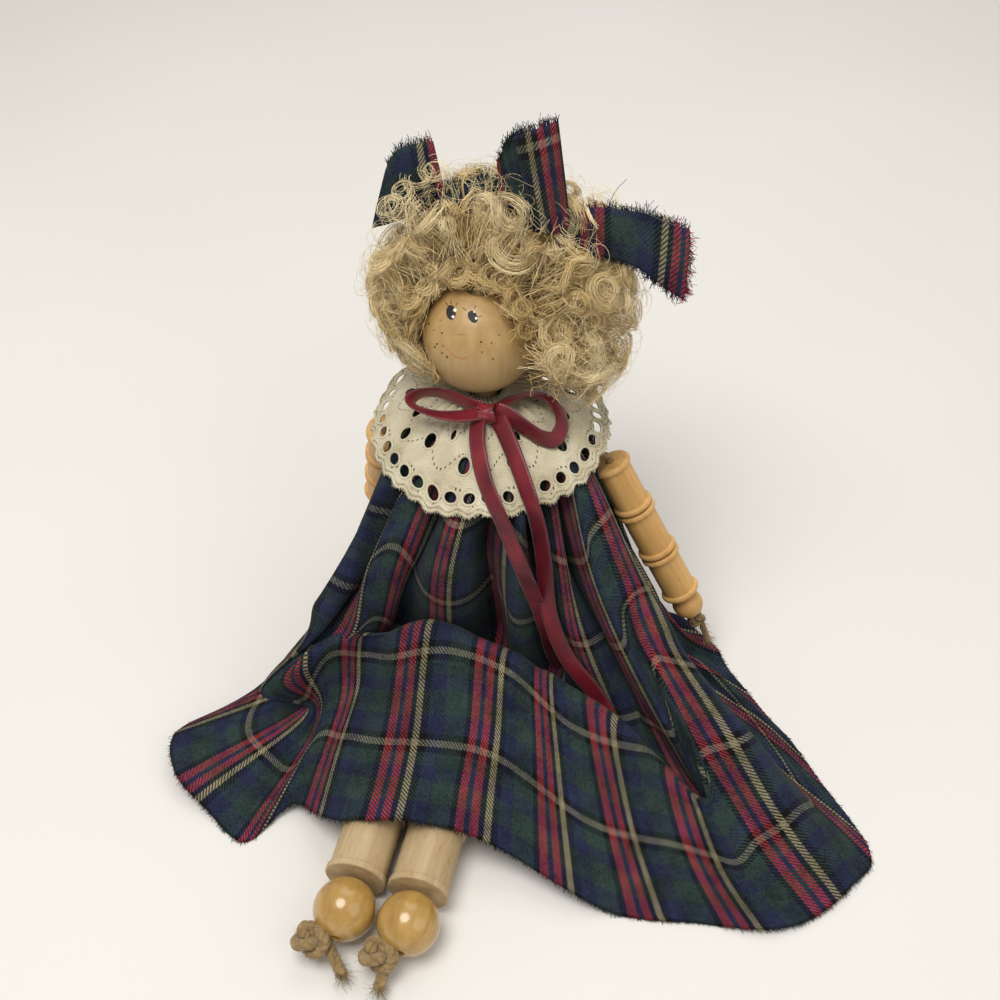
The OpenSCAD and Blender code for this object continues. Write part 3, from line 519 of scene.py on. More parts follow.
# ---- dress
# Guide columns run from the neck over the shoulder to the hem. Each lap column has its angle round the neck, then five
# points: under the shoulder, the valley behind the lap, the ridge of the lap, the slope before it and the hem.
LAP_COLUMNS = (
    (189, (-36, -12, 58), (-43, -23, 37), (-57, -38, 27), (-62, -45, 22), (-92, -64, 6)),
    (198, (-42, -19, 57), (-49, -34, 39), (-65, -54, 28), (-54, -55, 20), (-107, -76, 7)),
    (207, (-41, -26, 60), (-53, -45, 40.5), (-71.5, -64, 28.5), (-57, -63, 18), (-103, -91, 5)),
    (216, (-38, -33, 62), (-55, -54, 41), (-75, -72, 28), (-58, -69, 16), (-91, -102, 2)),
    (225, (-35, -38, 62.5), (-50, -53, 38), (-65, -66, 31), (-56, -69, 16), (-76, -113.5, 1)),
    (234, (-31, -42, 63), (-43, -51, 36), (-52, -57, 38), (-52, -68, 18), (-62, -100, 4)),
    (243, (-26, -44, 64), (-35, -49, 32), (-43, -55, 40.5), (-45, -66, 21), (-52, -106, 9)),
    (252, (-20, -45, 65), (-27, -46, 29), (-34, -54, 42), (-36, -64, 25), (-43, -113, 18)),
    (270, (-7, -46, 67), (-8, -45, 27), (-13, -51, 44), (-14, -85, 31), (-18, -116, 24)),
    (288, (8, -46, 67), (12, -50, 25), (9, -61, 41), (8, -88, 28), (6, -117, 14)),
    (306, (24, -46, 63), (37, -64, 21), (32, -71, 36.5), (38, -103, 20), (46, -133, 2)),
    (315, (32, -46, 61), (59, -83, 17), (55, -88.5, 29.5), (62, -114, 15), (74, -135, 1)),
    (324, (39, -45, 61), (80, -97, 13), (76, -104, 23), (86, -121, 10), (99, -135, 1)),
    (331, (45, -44, 62), (58, -64, 46), (73, -83, 30), (92, -107, 12), (112, -130, 1)),
    (338, (49, -40, 58), (68, -58, 44), (87, -78, 31), (103, -97, 17), (124, -119, 1)),
    (345, (47, -26, 48), (66, -42, 20), (90, -64, 5), (112, -86, 3), (132, -106, 1)),
    (352, (46, -14, 48), (60, -22, 12), (76, -36, 1.5), (94, -50, 1.5), (112, -69, 1)),
)
# The other columns fall straight to the floor: angle and hem.
PLAIN_COLUMNS = ((0, (84, -24)), (18, (62, 0)), (36, (46, 14)), (54, (32, 23)), (72, (16, 28)), (90, (0, 29)),
                 (108, (-14, 27)), (126, (-24, 20)), (144, (-30, 9)), (162, (-34, -9)), (180, (-60, -40)))
PLAIN_STEPS = (0.14, 0.30, 0.44, 0.72)
HEM_Z = 1.0
BACK_CLOTH = 1.45
PLEAT = 44.0
PLEAT_DEEPEST = 10.0
CALM_FROM, CALM_TO, CALM_LEFT = 0.37, 0.48, 0.08
# The pleats wander: waves round the dress, size in pleats, start angle in degrees.
PLEAT_WANDER = ((3, 0.11, 70), (5, 0.08, 200), (8, 0.10, 310), (11, 0.07, 140))
ROWS_PER_SPAN = (7, 14, 26, 16, 24, 26)
DRESS_COLUMNS = 480
# Slow swells of the cloth below the shoulders: waves round the dress, waves down it, height.
SWELLS = ((9, 1.3, 0.9), (14, -0.7, 0.7), (23, 2.1, 0.35), (6, 3.0, 0.6))
# Where the pleats and the swells start, as shares of the way down, and how far the pleats lean and differ.
PLEATS_FROM, SWELLS_FROM, PLEAT_LEAN, PLEAT_UNEVEN = 0.08, 0.25, 0.12, 0.3
CLOTH_T = 0.5
ARM_CLEAR, LEG_CLEAR, BODY_CLEAR = 8.4, 11.2, 20.2
CLOTH_FLOOR, THREAD_FLOOR, UNDER_COLLAR = 0.6, 0.4, 3.2


def dress_shoulder(angle):
    way = np.array([math.cos(math.radians(angle)), math.sin(math.radians(angle))])
    return [(*(NECK_MID + way * DRESS_NECK_R), NECK_Z), (*(way * DRESS_SHOULDER_R), DRESS_SHOULDER_Z)]


def plain_column(angle, hem):
    neck, shoulder = dress_shoulder(angle)
    start, end = np.array(shoulder[:2]), np.array(hem)
    fall = [(*(start + (end - start) * t), HEM_Z + (DRESS_EDGE_Z - HEM_Z) * (1 - t) ** 3) for t in PLAIN_STEPS]
    return [neck, shoulder, *fall, (*hem, HEM_Z)]


def between(t, a_at, b_at, a, b):
    """The value at t on the straight line from a at a_at to b at b_at."""
    return (b_at - t) / (b_at - a_at) * a + (t - a_at) / (b_at - a_at) * b


def through_columns(controls, per_span):
    """Centripetal Catmull-Rom along each column of control points: (columns, rows, 3)."""
    first = 2 * controls[:, :1] - controls[:, 1:2]
    last = 2 * controls[:, -1:] - controls[:, -2:-1]
    p = np.concatenate([first, controls, last], 1)
    gap = np.sqrt(np.maximum(np.linalg.norm(np.diff(p, axis=1), axis=2), 1e-6))
    knot = np.concatenate([np.zeros((len(p), 1)), np.cumsum(gap, 1)], 1)[..., None]
    out = []
    for i, rows in enumerate(per_span):
        at, near = [knot[:, i + j] for j in range(4)], [p[:, i + j] for j in range(4)]
        for s in np.arange(rows) / rows:
            t = at[1] + s * (at[2] - at[1])
            a = [between(t, at[j], at[j + 1], near[j], near[j + 1]) for j in range(3)]
            b = [between(t, at[j], at[j + 2], a[j], a[j + 1]) for j in range(2)]
            out.append(between(t, at[1], at[2], *b))
    return np.stack([*out, p[:, -2]], 1)


def across_guides(guides, at):
    """Periodic Catmull-Rom between guide columns at fractional guide numbers."""
    i = np.floor(at).astype(int)
    return catmull(*(guides[(i + j) % len(guides)] for j in (-1, 0, 1, 2)), (at - i)[:, None, None])


def smooth_round(values, times):
    for _ in range(times):
        values = 0.5 * values + 0.25 * (np.roll(values, 1, 0) + np.roll(values, -1, 0))
    return values


columns = [(angle, plain_column(angle, hem)) for angle, hem in PLAIN_COLUMNS]
columns += [(angle, dress_shoulder(angle) + list(points)) for angle, *points in LAP_COLUMNS]
guides = np.array([points for _, points in columns], float)
angles = np.array([angle for angle, _ in columns], float)
step_angle = (np.roll(angles, -1) - angles) % 360
hem_edge = np.linalg.norm(np.roll(guides[:, -1], -1, 0) - guides[:, -1], axis=1)
cloth_width = np.maximum(hem_edge, BACK_CLOTH * step_angle)
repeat_mm = PLAID_REPEAT / MM
whole = round(cloth_width.sum() / repeat_mm) * repeat_mm
cloth_width *= whole / cloth_width.sum()
cloth_at = np.concatenate([[0], np.cumsum(cloth_width)])
step_u = whole / DRESS_COLUMNS
flat_u = np.arange(DRESS_COLUMNS) * whole / DRESS_COLUMNS
mean = through_columns(across_guides(guides, np.interp(flat_u, cloth_at, np.arange(len(columns) + 1))), ROWS_PER_SPAN)
for _ in range(3):
    mean[:, 1:-1] = 0.5 * mean[:, 1:-1] + 0.25 * (mean[:, :-2] + mean[:, 2:])
mean = smooth_round(mean, 3)

rng = np.random.default_rng(7)
d_u = (np.roll(mean, -1, 0) - np.roll(mean, 1, 0)) / (2 * step_u)
outward = unit(np.cross(d_u, np.gradient(mean, axis=1)))
outward *= np.sign((outward * (mean - np.array([0, 0, 40.0]))).sum(-1, keepdims=True).mean())
squeeze = smooth_round(np.clip(np.linalg.norm(d_u, axis=-1), 0.2, 1.0), 10)
rows = mean.shape[1]
down = np.linspace(0, 1, rows)[None]
around = flat_u[:, None] / whole
pleats = round(whole / PLEAT)
wander = sum(size * np.sin(2 * math.pi * n * around + math.radians(start)) for n, size, start in PLEAT_WANDER)
phase = 2 * math.pi * (pleats * around + wander + PLEAT_LEAN * np.sin(5 * down + 33 * around))
depth = np.minimum(whole / pleats / 4 * np.sqrt(1 - squeeze ** 2), PLEAT_DEEPEST)
uneven = 1 + PLEAT_UNEVEN * np.sin(phase / 2.7 + 1.3)
# Broad rounded outsides with pinched valleys between them.
wave = 2.3 * (np.cos(phase / 2) ** 2 + 0.015) ** 0.3 - 1.7
# The pleats die out before they ride over the lap.
lap = np.array([0.0] * len(PLAIN_COLUMNS) + [1.0] * len(LAP_COLUMNS))
lap = np.interp(flat_u, cloth_at, np.append(lap, lap[0]))[:, None]
calm = CALM_LEFT + (1 - CALM_LEFT) * ease((CALM_TO - down) / (CALM_TO - CALM_FROM))
settle = np.clip(down / PLEATS_FROM, 0, 1) * (1 - lap + lap * calm)
swell = sum(a * np.sin(2 * math.pi * (n * around + m * down + rng.random()))
            for n, m, a in SWELLS)
lift = wave * depth * uneven * settle + swell * np.clip((down - SWELLS_FROM) * 3, 0, 1)
dress_points = mean + outward * lift[..., None]

LEGS = [((-17.0, -29.5, 10.0), (-38.0, -139.0, 10.0)), ((3.0, -29.5, 10.0), (-17.0, -141.0, 10.0))]
for start, end in LEGS:
    dress_points = push_clear(dress_points, start, end, LEG_CLEAR)
for side, start in ARM_STARTS.items():
    dress_points = push_clear(dress_points, start, start + ARM_WAYS[side] * ARM_REACH, ARM_CLEAR,
                              -np.sign(start[0]) * LEVEL)
dress_points = push_clear(dress_points, (0, 0, 0), (0, 0, BODY_TOP - 1), BODY_CLEAR)
dress_points[..., 2] = np.maximum(dress_points[..., 2], CLOTH_FLOOR)
off = dress_points[..., :2] - COLLAR_MID
collar_share = np.clip((np.linalg.norm(off, axis=-1) - COLLAR_NECK_R) / (COLLAR_R - COLLAR_NECK_R), 0, 1)
collar_front = np.maximum(0, unit(off) @ COLLAR_LOWEST)
collar_z = COLLAR_NECK_Z + (COLLAR_SIDE_Z - COLLAR_DROP * collar_front - COLLAR_NECK_Z) * collar_share ** 2
under = (collar_share < 1) & (dress_points[..., 2] > BODY_TOP - 20)
dress_points[..., 2] = np.where(under, np.minimum(dress_points[..., 2], collar_z - UNDER_COLLAR), dress_points[..., 2])

fall = np.linalg.norm(np.diff(dress_points, axis=1), axis=2)
to_hem = np.concatenate([np.cumsum(fall[:, ::-1], 1)[:, ::-1], np.zeros((DRESS_COLUMNS, 1))], 1)
to_hem = smooth_round(to_hem, 60)
WEFT_FROM_HEM = 26.5
WARP_SHIFT = 6.0
column, row = np.meshgrid(np.arange(DRESS_COLUMNS), np.arange(rows - 1), indexing="ij")
here, there = column * rows + row, (column + 1) % DRESS_COLUMNS * rows + row
quads = np.stack([here, here + 1, there + 1, there], -1).reshape(-1, 4)
warp_at = np.stack([column, column, column + 1, column + 1], -1).reshape(-1, 4) * step_u + WARP_SHIFT
dress = make_piece("plaid_dress", dress_points, quads, flannel, "torso", "plaid_flannel", "dress", thick=CLOTH_T,
                   uv=np.stack([warp_at, to_hem.ravel()[quads] - WEFT_FROM_HEM], -1) * MM)

FRAY = 3200
FRAY_R, FRAY_LONGEST, FRAY_WEFT = 0.1, 1.0, -0.8
pick = rng.integers(0, DRESS_COLUMNS, FRAY)
share = rng.random(FRAY)[:, None]
near = (pick + 1) % DRESS_COLUMNS
root = dress_points[pick, -1] * (1 - share) + dress_points[near, -1] * share
way = unit(dress_points[pick, -1] - dress_points[pick, -4])
lean = way + rng.normal(0, 0.35, (FRAY, 3))
reach = rng.uniform(0.2, FRAY_LONGEST, FRAY)[:, None]
paths = threads(root, lean, rng.normal(0, 0.3, (FRAY, 3)), reach, way * 0.5)
paths[..., 2] = np.maximum(paths[..., 2], THREAD_FLOOR)
thread_uv = np.stack([(pick + share[:, 0]) * step_u + WARP_SHIFT, np.full(FRAY, FRAY_WEFT)], 1) * MM
fray = make_piece("dress_fray", *tubes(paths, FRAY_R, 3, 0.6), flannel, "torso", "plaid_flannel",
                  uv=np.repeat(thread_uv, 9, 0))

# ---- lace collar
# One eyelet tile, cut flat with its holes, repeats along the strip; the strip is then gathered round the neck.
COLLAR_W = 33.0
TILE = 82.0
TILES = 3
OVALS = 12
SCALLOP = 0.45
OVAL = (2.35, 1.5)
OVAL_IN = 3.7
# Round eyelets in loose clusters: place along the strip, place from the neck, radius. The gathers narrow them again.
EYELETS = ((8.0, 20.5, 2.0), (15.5, 14.5, 1.7), (27.0, 17.0, 2.1), (33.0, 23.0, 1.9), (47.0, 19.0, 2.3),
           (57.5, 14.0, 1.6), (68.0, 21.5, 2.1), (76.0, 15.5, 1.5))
EYELET_WIDEN = 1.4
LACE_STEP = 1.4
GATHERS = 34
GATHERS_END = (0.25, 0.66)
COLLAR_TURN = 0.13
LACE_T = 0.35
RIM_R, RIM_WIDER, RIM_LIFT = 0.48, 1.14, 0.2


def ellipse(x, y, a, b, count, lean=0.0):
    turn = np.arange(count) * 2 * math.pi / count
    flat = np.stack([a * np.cos(turn), b * np.sin(turn)], 1)
    c, s = math.cos(lean), math.sin(lean)
    return flat @ np.array([[c, s], [-s, c]]) + [x, y]


def lace_edge(x):
    return COLLAR_W - SCALLOP * np.cos(2 * math.pi * OVALS * x / TILE)


def collar_spot(flat):
    """Where a point of the flat strip lies once the strip is gathered round the neck."""
    a = 2 * math.pi * flat[:, 0] / (TILE * TILES) - math.pi / 2 + COLLAR_TURN
    s = flat[:, 1] / COLLAR_W
    out = np.stack([np.cos(a), np.sin(a)], -1)
    front, beside = np.maximum(0, out @ COLLAR_LOWEST), np.maximum(0, out @ RAISED_ARM)
    middle = NECK_MID[None] * (1 - s)[:, None] + COLLAR_MID[None] * s[:, None]
    r = COLLAR_NECK_R + (COLLAR_R - COLLAR_NECK_R) * s
    edge_z = COLLAR_SIDE_Z - COLLAR_DROP * front + ARM_ROOM * beside ** 16
    sway = s * (0.9 * np.cos(5 * a + 0.6) + 0.55 * s * np.cos(9 * a + 2.0) + 0.3 * s * np.cos(17 * a))
    spare = np.minimum(TILE * TILES / (2 * math.pi * r), 2.8)
    gather = 0.6 * (2 * math.pi * r / GATHERS / 4) * np.sqrt(np.maximum(spare ** 2 - 1, 0))
    gather *= ease((GATHERS_END[1] - s) / (GATHERS_END[1] - GATHERS_END[0]))
    gather *= np.cos(GATHERS * a + 0.9 * np.sin(7 * a))
    z = COLLAR_NECK_Z + (edge_z - COLLAR_NECK_Z) * s * s + sway + gather
    return np.column_stack([middle + r[:, None] * out, z])


lace_rng = np.random.default_rng(3)
rings = [ellipse(TILE / OVALS * (i + 0.5), COLLAR_W - OVAL_IN, OVAL[0] * lace_rng.uniform(0.88, 1.1),
                 OVAL[1] * lace_rng.uniform(0.88, 1.15), 16, lace_rng.normal(0, 0.12)) for i in range(OVALS)]
rings += [ellipse(x, y, r * EYELET_WIDEN, r * lace_rng.uniform(0.9, 1.1), 16, lace_rng.normal(0, 0.15))
          for x, y, r in EYELETS]
side_y = np.linspace(0, lace_edge(np.zeros(1))[0], round(COLLAR_W / LACE_STEP))
edge_x = np.linspace(0, TILE, round(TILE * 1.2) + 1)
neck_x = np.linspace(0, TILE, round(TILE / LACE_STEP) + 1)
outline = np.vstack([
    np.stack([neck_x, np.zeros_like(neck_x)], 1),
    np.stack([np.full(len(side_y) - 2, TILE), side_y[1:-1]], 1),
    np.stack([edge_x[::-1], lace_edge(edge_x[::-1])], 1),
    np.stack([np.zeros(len(side_y) - 2), side_y[1:-1][::-1]], 1)])
fill_x, fill_y = np.meshgrid(np.arange(1.0, TILE, LACE_STEP), np.arange(1.4, COLLAR_W - 0.8, LACE_STEP))
fill = np.stack([fill_x.ravel(), fill_y.ravel()], 1)
for ring in rings:
    middle = ring.mean(0)
    reach = np.linalg.norm(ring - middle, axis=1).max() + 0.7
    fill = fill[np.linalg.norm(fill - middle, axis=1) > reach]
flat_points = np.vstack([outline, *rings, fill])
loops, at = [], 0
for ring in [outline, *rings]:
    loops += [(at + i, at + (i + 1) % len(ring)) for i in range(len(ring))]
    at += len(ring)
cut = delaunay_2d_cdt([Vector(p) for p in flat_points], loops, [], 0, 1e-5)
tile_points = np.array([tuple(p) for p in cut[0]])
tile_faces = np.array(cut[2])
middles = tile_points[tile_faces].mean(1)


def within(points, ring):
    """Which points lie inside a closed ring of points."""
    x, y = points[:, 0][:, None], points[:, 1][:, None]
    ax, ay = ring[:, 0][None], ring[:, 1][None]
    bx, by = np.roll(ring[:, 0], -1)[None], np.roll(ring[:, 1], -1)[None]
    cross_over = (ay > y) != (by > y)
    at_x = ax + (y - ay) / np.where(by == ay, 1e-9, by - ay) * (bx - ax)
    return (cross_over & (x < at_x)).sum(1) % 2 == 1


keep = within(middles, outline)
for ring in rings:
    keep &= ~within(middles, ring)
tile_faces = tile_faces[keep]
lace_flat = np.vstack([tile_points + [TILE * i, 0] for i in range(TILES)])
lace_faces = np.vstack([tile_faces + len(tile_points) * i for i in range(TILES)])
collar_points = collar_spot(lace_flat)
collar = make_piece("eyelet_collar", collar_points, lace_faces, eyelet, "torso", "eyelet_lace", "lace_collar",
                    uv=lace_flat * MM, thick=LACE_T, weld=0.05)

rim_paths = []
for shift in np.arange(TILES)[:, None] * [TILE, 0]:
    for ring in rings:
        middle = ring.mean(0)
        wider = middle + (np.vstack([ring, ring[:2]]) - middle) * RIM_WIDER
        rim_paths.append(collar_spot(wider + shift) + RIM_LIFT * UP)
rims = make_piece("eyelet_rims", *tubes(rim_paths, RIM_R, 5), eyelet, "torso", "eyelet_lace", uv=(0, 0))

STITCHES = 4200
STITCH_R, EDGE_CORD_R = 0.17, 0.6
EDGE_CORDS_IN = (0.3, 1.3)
cord_x = np.linspace(0, TILE * TILES, 900)
cord_paths = [collar_spot(np.stack([cord_x, lace_edge(cord_x % TILE) - inset], 1)) for inset in EDGE_CORDS_IN]
stitch_x = lace_rng.random(STITCHES) * TILE * TILES
depth_in = np.abs(lace_rng.normal(0, 0.8, STITCHES))
start = np.stack([stitch_x, lace_edge(stitch_x % TILE) - depth_in], 1)
end = start + np.stack([lace_rng.normal(0, 0.5, STITCHES), lace_rng.uniform(0.1, 0.8, STITCHES)], 1)
top = collar_spot((start + end) / 2) + lace_rng.uniform(0.2, 0.9, STITCHES)[:, None] * UP
stitch_paths = np.stack([collar_spot(start), top, collar_spot(end)], 1)
points, faces = joined(tubes(stitch_paths, STITCH_R, 3, 0.7), tubes(cord_paths, EDGE_CORD_R, 6))
fuzz = make_piece("collar_edge_stitches", points, faces, eyelet, "torso", "eyelet_lace", uv=(0, 0))


# ---- ribbon
def ribbon_band(name, line, wide, width, bow, waver, seed, replaces=None, ribs=6):
    """A ribbon along a line of points. wide gives its width's direction, one for all points or one for each."""
    count = len(line)
    ahead = unit(np.gradient(line, axis=0))
    wide = np.broadcast_to(wide, line.shape)
    wide = unit(wide - ahead * (wide * ahead).sum(1, keepdims=True))
    face = np.cross(ahead, wide)
    side = np.linspace(-0.5, 0.5, ribs + 1)
    s = np.linspace(0, 1, count)[:, None]
    sag = bow * (1 - 4 * side ** 2) + creases(np.random.default_rng(seed), s, side, (2, 3, 5, 7)) * waver
    points = line[:, None] + wide[:, None] * (side * width)[None, :, None] + face[:, None] * sag[..., None]
    return make_piece(name, points, grid_faces(count, ribs + 1), ribbon_satin, "torso", "satin_ribbon", replaces,
                      cloth_grid(run_of(line), side * width), thick=RIBBON_T)


RIBBON_T = 0.35
RIBBON_POINTS = 90
# Each loop as pixels of the photograph, millimetres towards the camera, and the band's tilt out of the view in degrees.
LOOP_LEFT = ((484, 410, 1.0, 40), (470, 404, -1.0, 50), (455, 397, -2.0, 55), (436, 392, -2.5, 55),
             (420, 393, -2.0, 58), (411, 400, 0.0, 60), (417, 408, 2.0, 55), (438, 415, 3.0, 48),
             (460, 417, 3.0, 42), (481, 413, 2.0, 40))
LOOP_RIGHT = ((495, 410, 1.0, 45), (508, 400, -1.5, 60), (529, 393, -3.0, 62), (547, 396, -3.0, 62),
              (558, 408, -1.5, 56), (562, 424, 1.0, 40), (555, 439, 2.6, 34), (541, 438, 3.4, 32),
              (525, 428, 3.6, 32), (508, 416, 3.0, 34), (497, 411, 2.2, 40))
# The tails as pixels; they lie on the collar and the dress, and their ends drop into the valley behind the lap.
TAIL_LEFT = ((480, 414), (477, 430), (478, 450), (486, 484), (503, 524), (518, 560), (540, 612), (548, 634), (553, 652))
TAIL_RIGHT = ((496, 414), (503, 428), (513, 452), (527, 490), (538, 526), (544, 562), (549, 612), (566, 656),
              (594, 692))
# Each tail: its pixels, its lift off the cloth, how far its edge turns towards the camera, in degrees, at shares of its
# length, and its last points from the last pixel's.
TAIL_SHARES = (0.0, 0.3, 0.7, 1.0)
TAILS = {"left": (TAIL_LEFT, 1.3, (36, 34, 22, 0), ((1.5, 0.5, -6.0), (2.5, 1.0, -12.0))),
         "right": (TAIL_RIGHT, 2.3, (30, 34, 22, 0), ((4.0, -3.0, -6.0), (7.0, -5.0, -11.0)))}
RIBBON_PX = 8.0
carriers = [BVHTree.FromPolygons(dress_points.reshape(-1, 3).tolist(), quads.tolist()),
            BVHTree.FromPolygons(collar_points.tolist(), lace_faces.tolist())]


def lies_on(pixels, lift, count):
    """A line that follows the pixels on the nearest of the carriers, bridging the folds between its high places."""
    line = spline(pixels, count)
    rays = np.array([pixel_ray(px, py) for px, py in line])
    far = []
    for px, py in line:
        probes = [pixel_ray(px + aside, py) for aside in (-RIBBON_PX, 0.0, RIBBON_PX)]
        hits = [tree.ray_cast(Vector(CAMERA_AT), Vector(ray))[3] for tree in carriers for ray in probes]
        far.append(min(hit for hit in hits if hit is not None))
    far = np.array(far)
    for _ in range(60):
        level = far.copy()
        level[1:-1] = (far[:-2] + far[2:]) / 2
        far = np.minimum(far, level)
    for _ in range(6):
        far[1:-1] = 0.5 * far[1:-1] + 0.25 * (far[:-2] + far[2:])
    return CAMERA_AT + rays * (far - lift)[:, None]


def ribbon_loop(name, stops, seed):
    stops = np.array(stops, float)
    line = spline([on_plane(px, py, KNOT_AT) - VIEW * toward for px, py, toward, _ in stops], RIBBON_POINTS)
    pixel_way = np.gradient(stops[:, :2], axis=0)
    flat = unit(VIEW_RIGHT * pixel_way[:, 1:2] + VIEW_UP * pixel_way[:, :1])
    tilt = np.radians(stops[:, 3:])
    wide = spline(flat * np.cos(tilt) + VIEW * np.sin(tilt), RIBBON_POINTS)
    ribbon_band(name, line, wide, RIBBON_W, 0.2, 0.06, seed)


ribbon_loop("ribbon_loop_left", LOOP_LEFT, 1)
ribbon_loop("ribbon_loop_right", LOOP_RIGHT, 2)
for side, (pixels, lift, turns, drop) in TAILS.items():
    turned = np.radians(np.interp(np.linspace(0, 1, RIBBON_POINTS), TAIL_SHARES, turns))[:, None]
    seen = lies_on(pixels, lift + RIBBON_W / 2 * np.sin(turned[:, 0]), RIBBON_POINTS)
    line = spline(np.vstack([seen[::4], seen[-1] + np.array(drop)]), RIBBON_POINTS)
    wide = LEVEL * np.cos(turned) - VIEW * np.sin(turned)
    tail = ribbon_band("ribbon_tail_" + side, line, wide, RIBBON_W, 0.15, 0.05, 4)
# The knot's wrap, from the knot's middle.
WRAP = ((-0.5, -3.0, 3.0), (0.5, -5.0, 0.5), (0.8, -4.4, -2.6), (0.8, -1.5, -3.4), (0.5, 1.5, -1.0), (0.2, 0.6, 2.4),
        (-0.5, -3.0, 3.0))
ribbon_band("ribbon_knot", spline(KNOT_AT + np.array(WRAP), 50), LEVEL, RIBBON_W * 0.9, -0.5, 0.12, 9, "neck_ribbon")

# ---- hair
# Curls lie as rings of fine strands on the outside of the wig, over a filling of waved strands rooted on the ball.
FACE_WAY = unit(np.array([-0.25, -0.755, 0.605]))
FACE_OPEN = math.radians(54)
NECK_CLEAR = unit(np.array([0.10, -0.80, -0.58]))
NECK_OPEN = math.radians(54)
OPENINGS = ((NECK_CLEAR, NECK_OPEN), (FACE_WAY, FACE_OPEN))
# How far curls may hang over the edge of each opening, in radians; the fringe and the big curl hang further.
OVER_NECK, OVER_FACE, FRINGE_OVER, BIG_CURL_OVER = 0.16, 0.12, 0.26, 0.2
HAIR_SOFT = 4.0
HAIR_SIDE = unit(np.array([1.0, 0.15, 0.3]))
HAIR_WIDER = 15.0
HAIR_SHORT_WAY = unit(np.array([-0.75, -0.60, -0.28]))
HAIR_SHORTER = 16.0
FILLING, CURLS, FRINGE_CURLS, FLYAWAYS = 1900, 250, 30, 520
CURL_STRANDS, STRAND_POINTS = 22, 21
CURL_GIRTHS, FILLING_GIRTHS, FLYAWAY_GIRTH = (0.065, 0.115), (0.1, 0.15), 0.06
# Strand tones: the filling's dark tones are painted shade inside the wig, and the outer curls' light tones are painted
# highlights; each strand's tone also varies at random.
CURL_LIT_TONES, FRINGE_TONES, FILLING_SHADE_TONES = (0.35, 1.0), (0.3, 0.7), (0.05, 0.5)
CURL_SIZES, FRINGE_SIZES, WISP_SIZES, FLYAWAY_SIZES = (3.2, 7.4), (3.0, 5.0), (4.0, 6.5), (3.5, 7.5)
BIG_CURL_AT, BIG_CURL_R, BIG_CURL_OUT = (518, 254), 8.8, 36.0
# Loose curls that lie over the ends of the bow: pixels of the photograph.
BOW_WISPS = ((413, 172), (398, 192), (388, 214), (433, 168), (604, 240), (626, 246), (588, 232), (655, 252))
WISP_OUT, WISP_STAND = 24.0, 3.0
# The lowest that the hair hangs, at distances from the head's turning axis, so that it passes over the ribbon's loops.
LOOP_ROOM = {"left": ((28, 33, 36), (112.6, 111.5, 100)), "right": ((22, 30, 36), (111.6, 108.6, 104))}
LOOP_SPREAD = 1.5
hair_rng = np.random.default_rng(11)


def hair_reach(way):
    """How far the wig reaches from the head's centre in each direction."""
    r = HAIR_R + HAIR_CROWN * np.maximum(0, way @ HAIR_UP) ** 1.3 + HAIR_WIDER * np.maximum(0, way @ HAIR_SIDE) ** 2
    r = r - HAIR_SHORTER * np.maximum(0, way @ HAIR_SHORT_WAY) ** 4
    low = (HEAD_AT[2] - HAIR_LOW_Z) / np.maximum(-way[..., 2], 1e-6)
    return np.where(way[..., 2] < -0.05, np.minimum(r, low), r)


def from_head(points):
    """Directions and distances of points from the head's centre."""
    off = points - HEAD_AT
    far = np.linalg.norm(off, axis=-1, keepdims=True)
    return off / np.maximum(far, 1e-6), far


def held_in(points, slack):
    """Strand points kept between the ball and the wig's outside, and above the ribbon's loops."""
    way, far = from_head(points)
    top = hair_reach(way)[..., None] + slack - HAIR_SOFT
    soft = np.where(far > top, top + HAIR_SOFT * np.tanh((far - top) / HAIR_SOFT), far)
    held = HEAD_AT + way * np.maximum(soft, HEAD_R + 0.5)
    from_axis = np.linalg.norm(held[..., :2] - HEAD_AT[:2], axis=-1)
    left, right = (np.interp(from_axis, *LOOP_ROOM[side]) for side in ("left", "right"))
    room = np.where(held[..., 0] < HEAD_AT[0], left, right)
    over = held[..., 2] - room
    held[..., 2] = room + np.where(over < 0, LOOP_SPREAD * (1 - np.exp(np.minimum(over, 0) / LOOP_SPREAD)), over)
    return held


def clear_of_face(way, spare):
    """Whether a direction from the head's centre is clear of the face and of the throat below it."""
    return all(np.arccos(np.clip(way @ axis, -1, 1)) > opening + spare for axis, opening in OPENINGS)


def off_face(points, over=OVER_FACE):
    """Strand points that fall in front of the face or throat, turned aside to the edge of the opening."""
    way, far = from_head(points)
    for (axis, opening), inside in zip(OPENINGS, (OVER_NECK, over)):
        rim = opening - inside
        along = (way @ axis)[..., None]
        edge = axis * math.cos(rim) + unit(way - axis * along) * math.sin(rim)
        way = np.where(along > math.cos(rim), edge, way)
    return HEAD_AT + way * far


def hair_ways(count, lowest, spare=0.0):
    found = []
    while len(found) < count:
        way = unit(hair_rng.normal(0, 1, 3))
        if clear_of_face(way, spare) and way[2] > lowest:
            found.append(way)
    return np.array(found)


hair_paths, tones, girths = [], [], []
s = np.linspace(0, 1, STRAND_POINTS)
grow = ease(s / 0.2)[:, None]


def add_strand(path, tone, girth):
    hair_paths.append(path)
    tones.append(np.clip(tone, 0, 1))
    girths.append(girth)


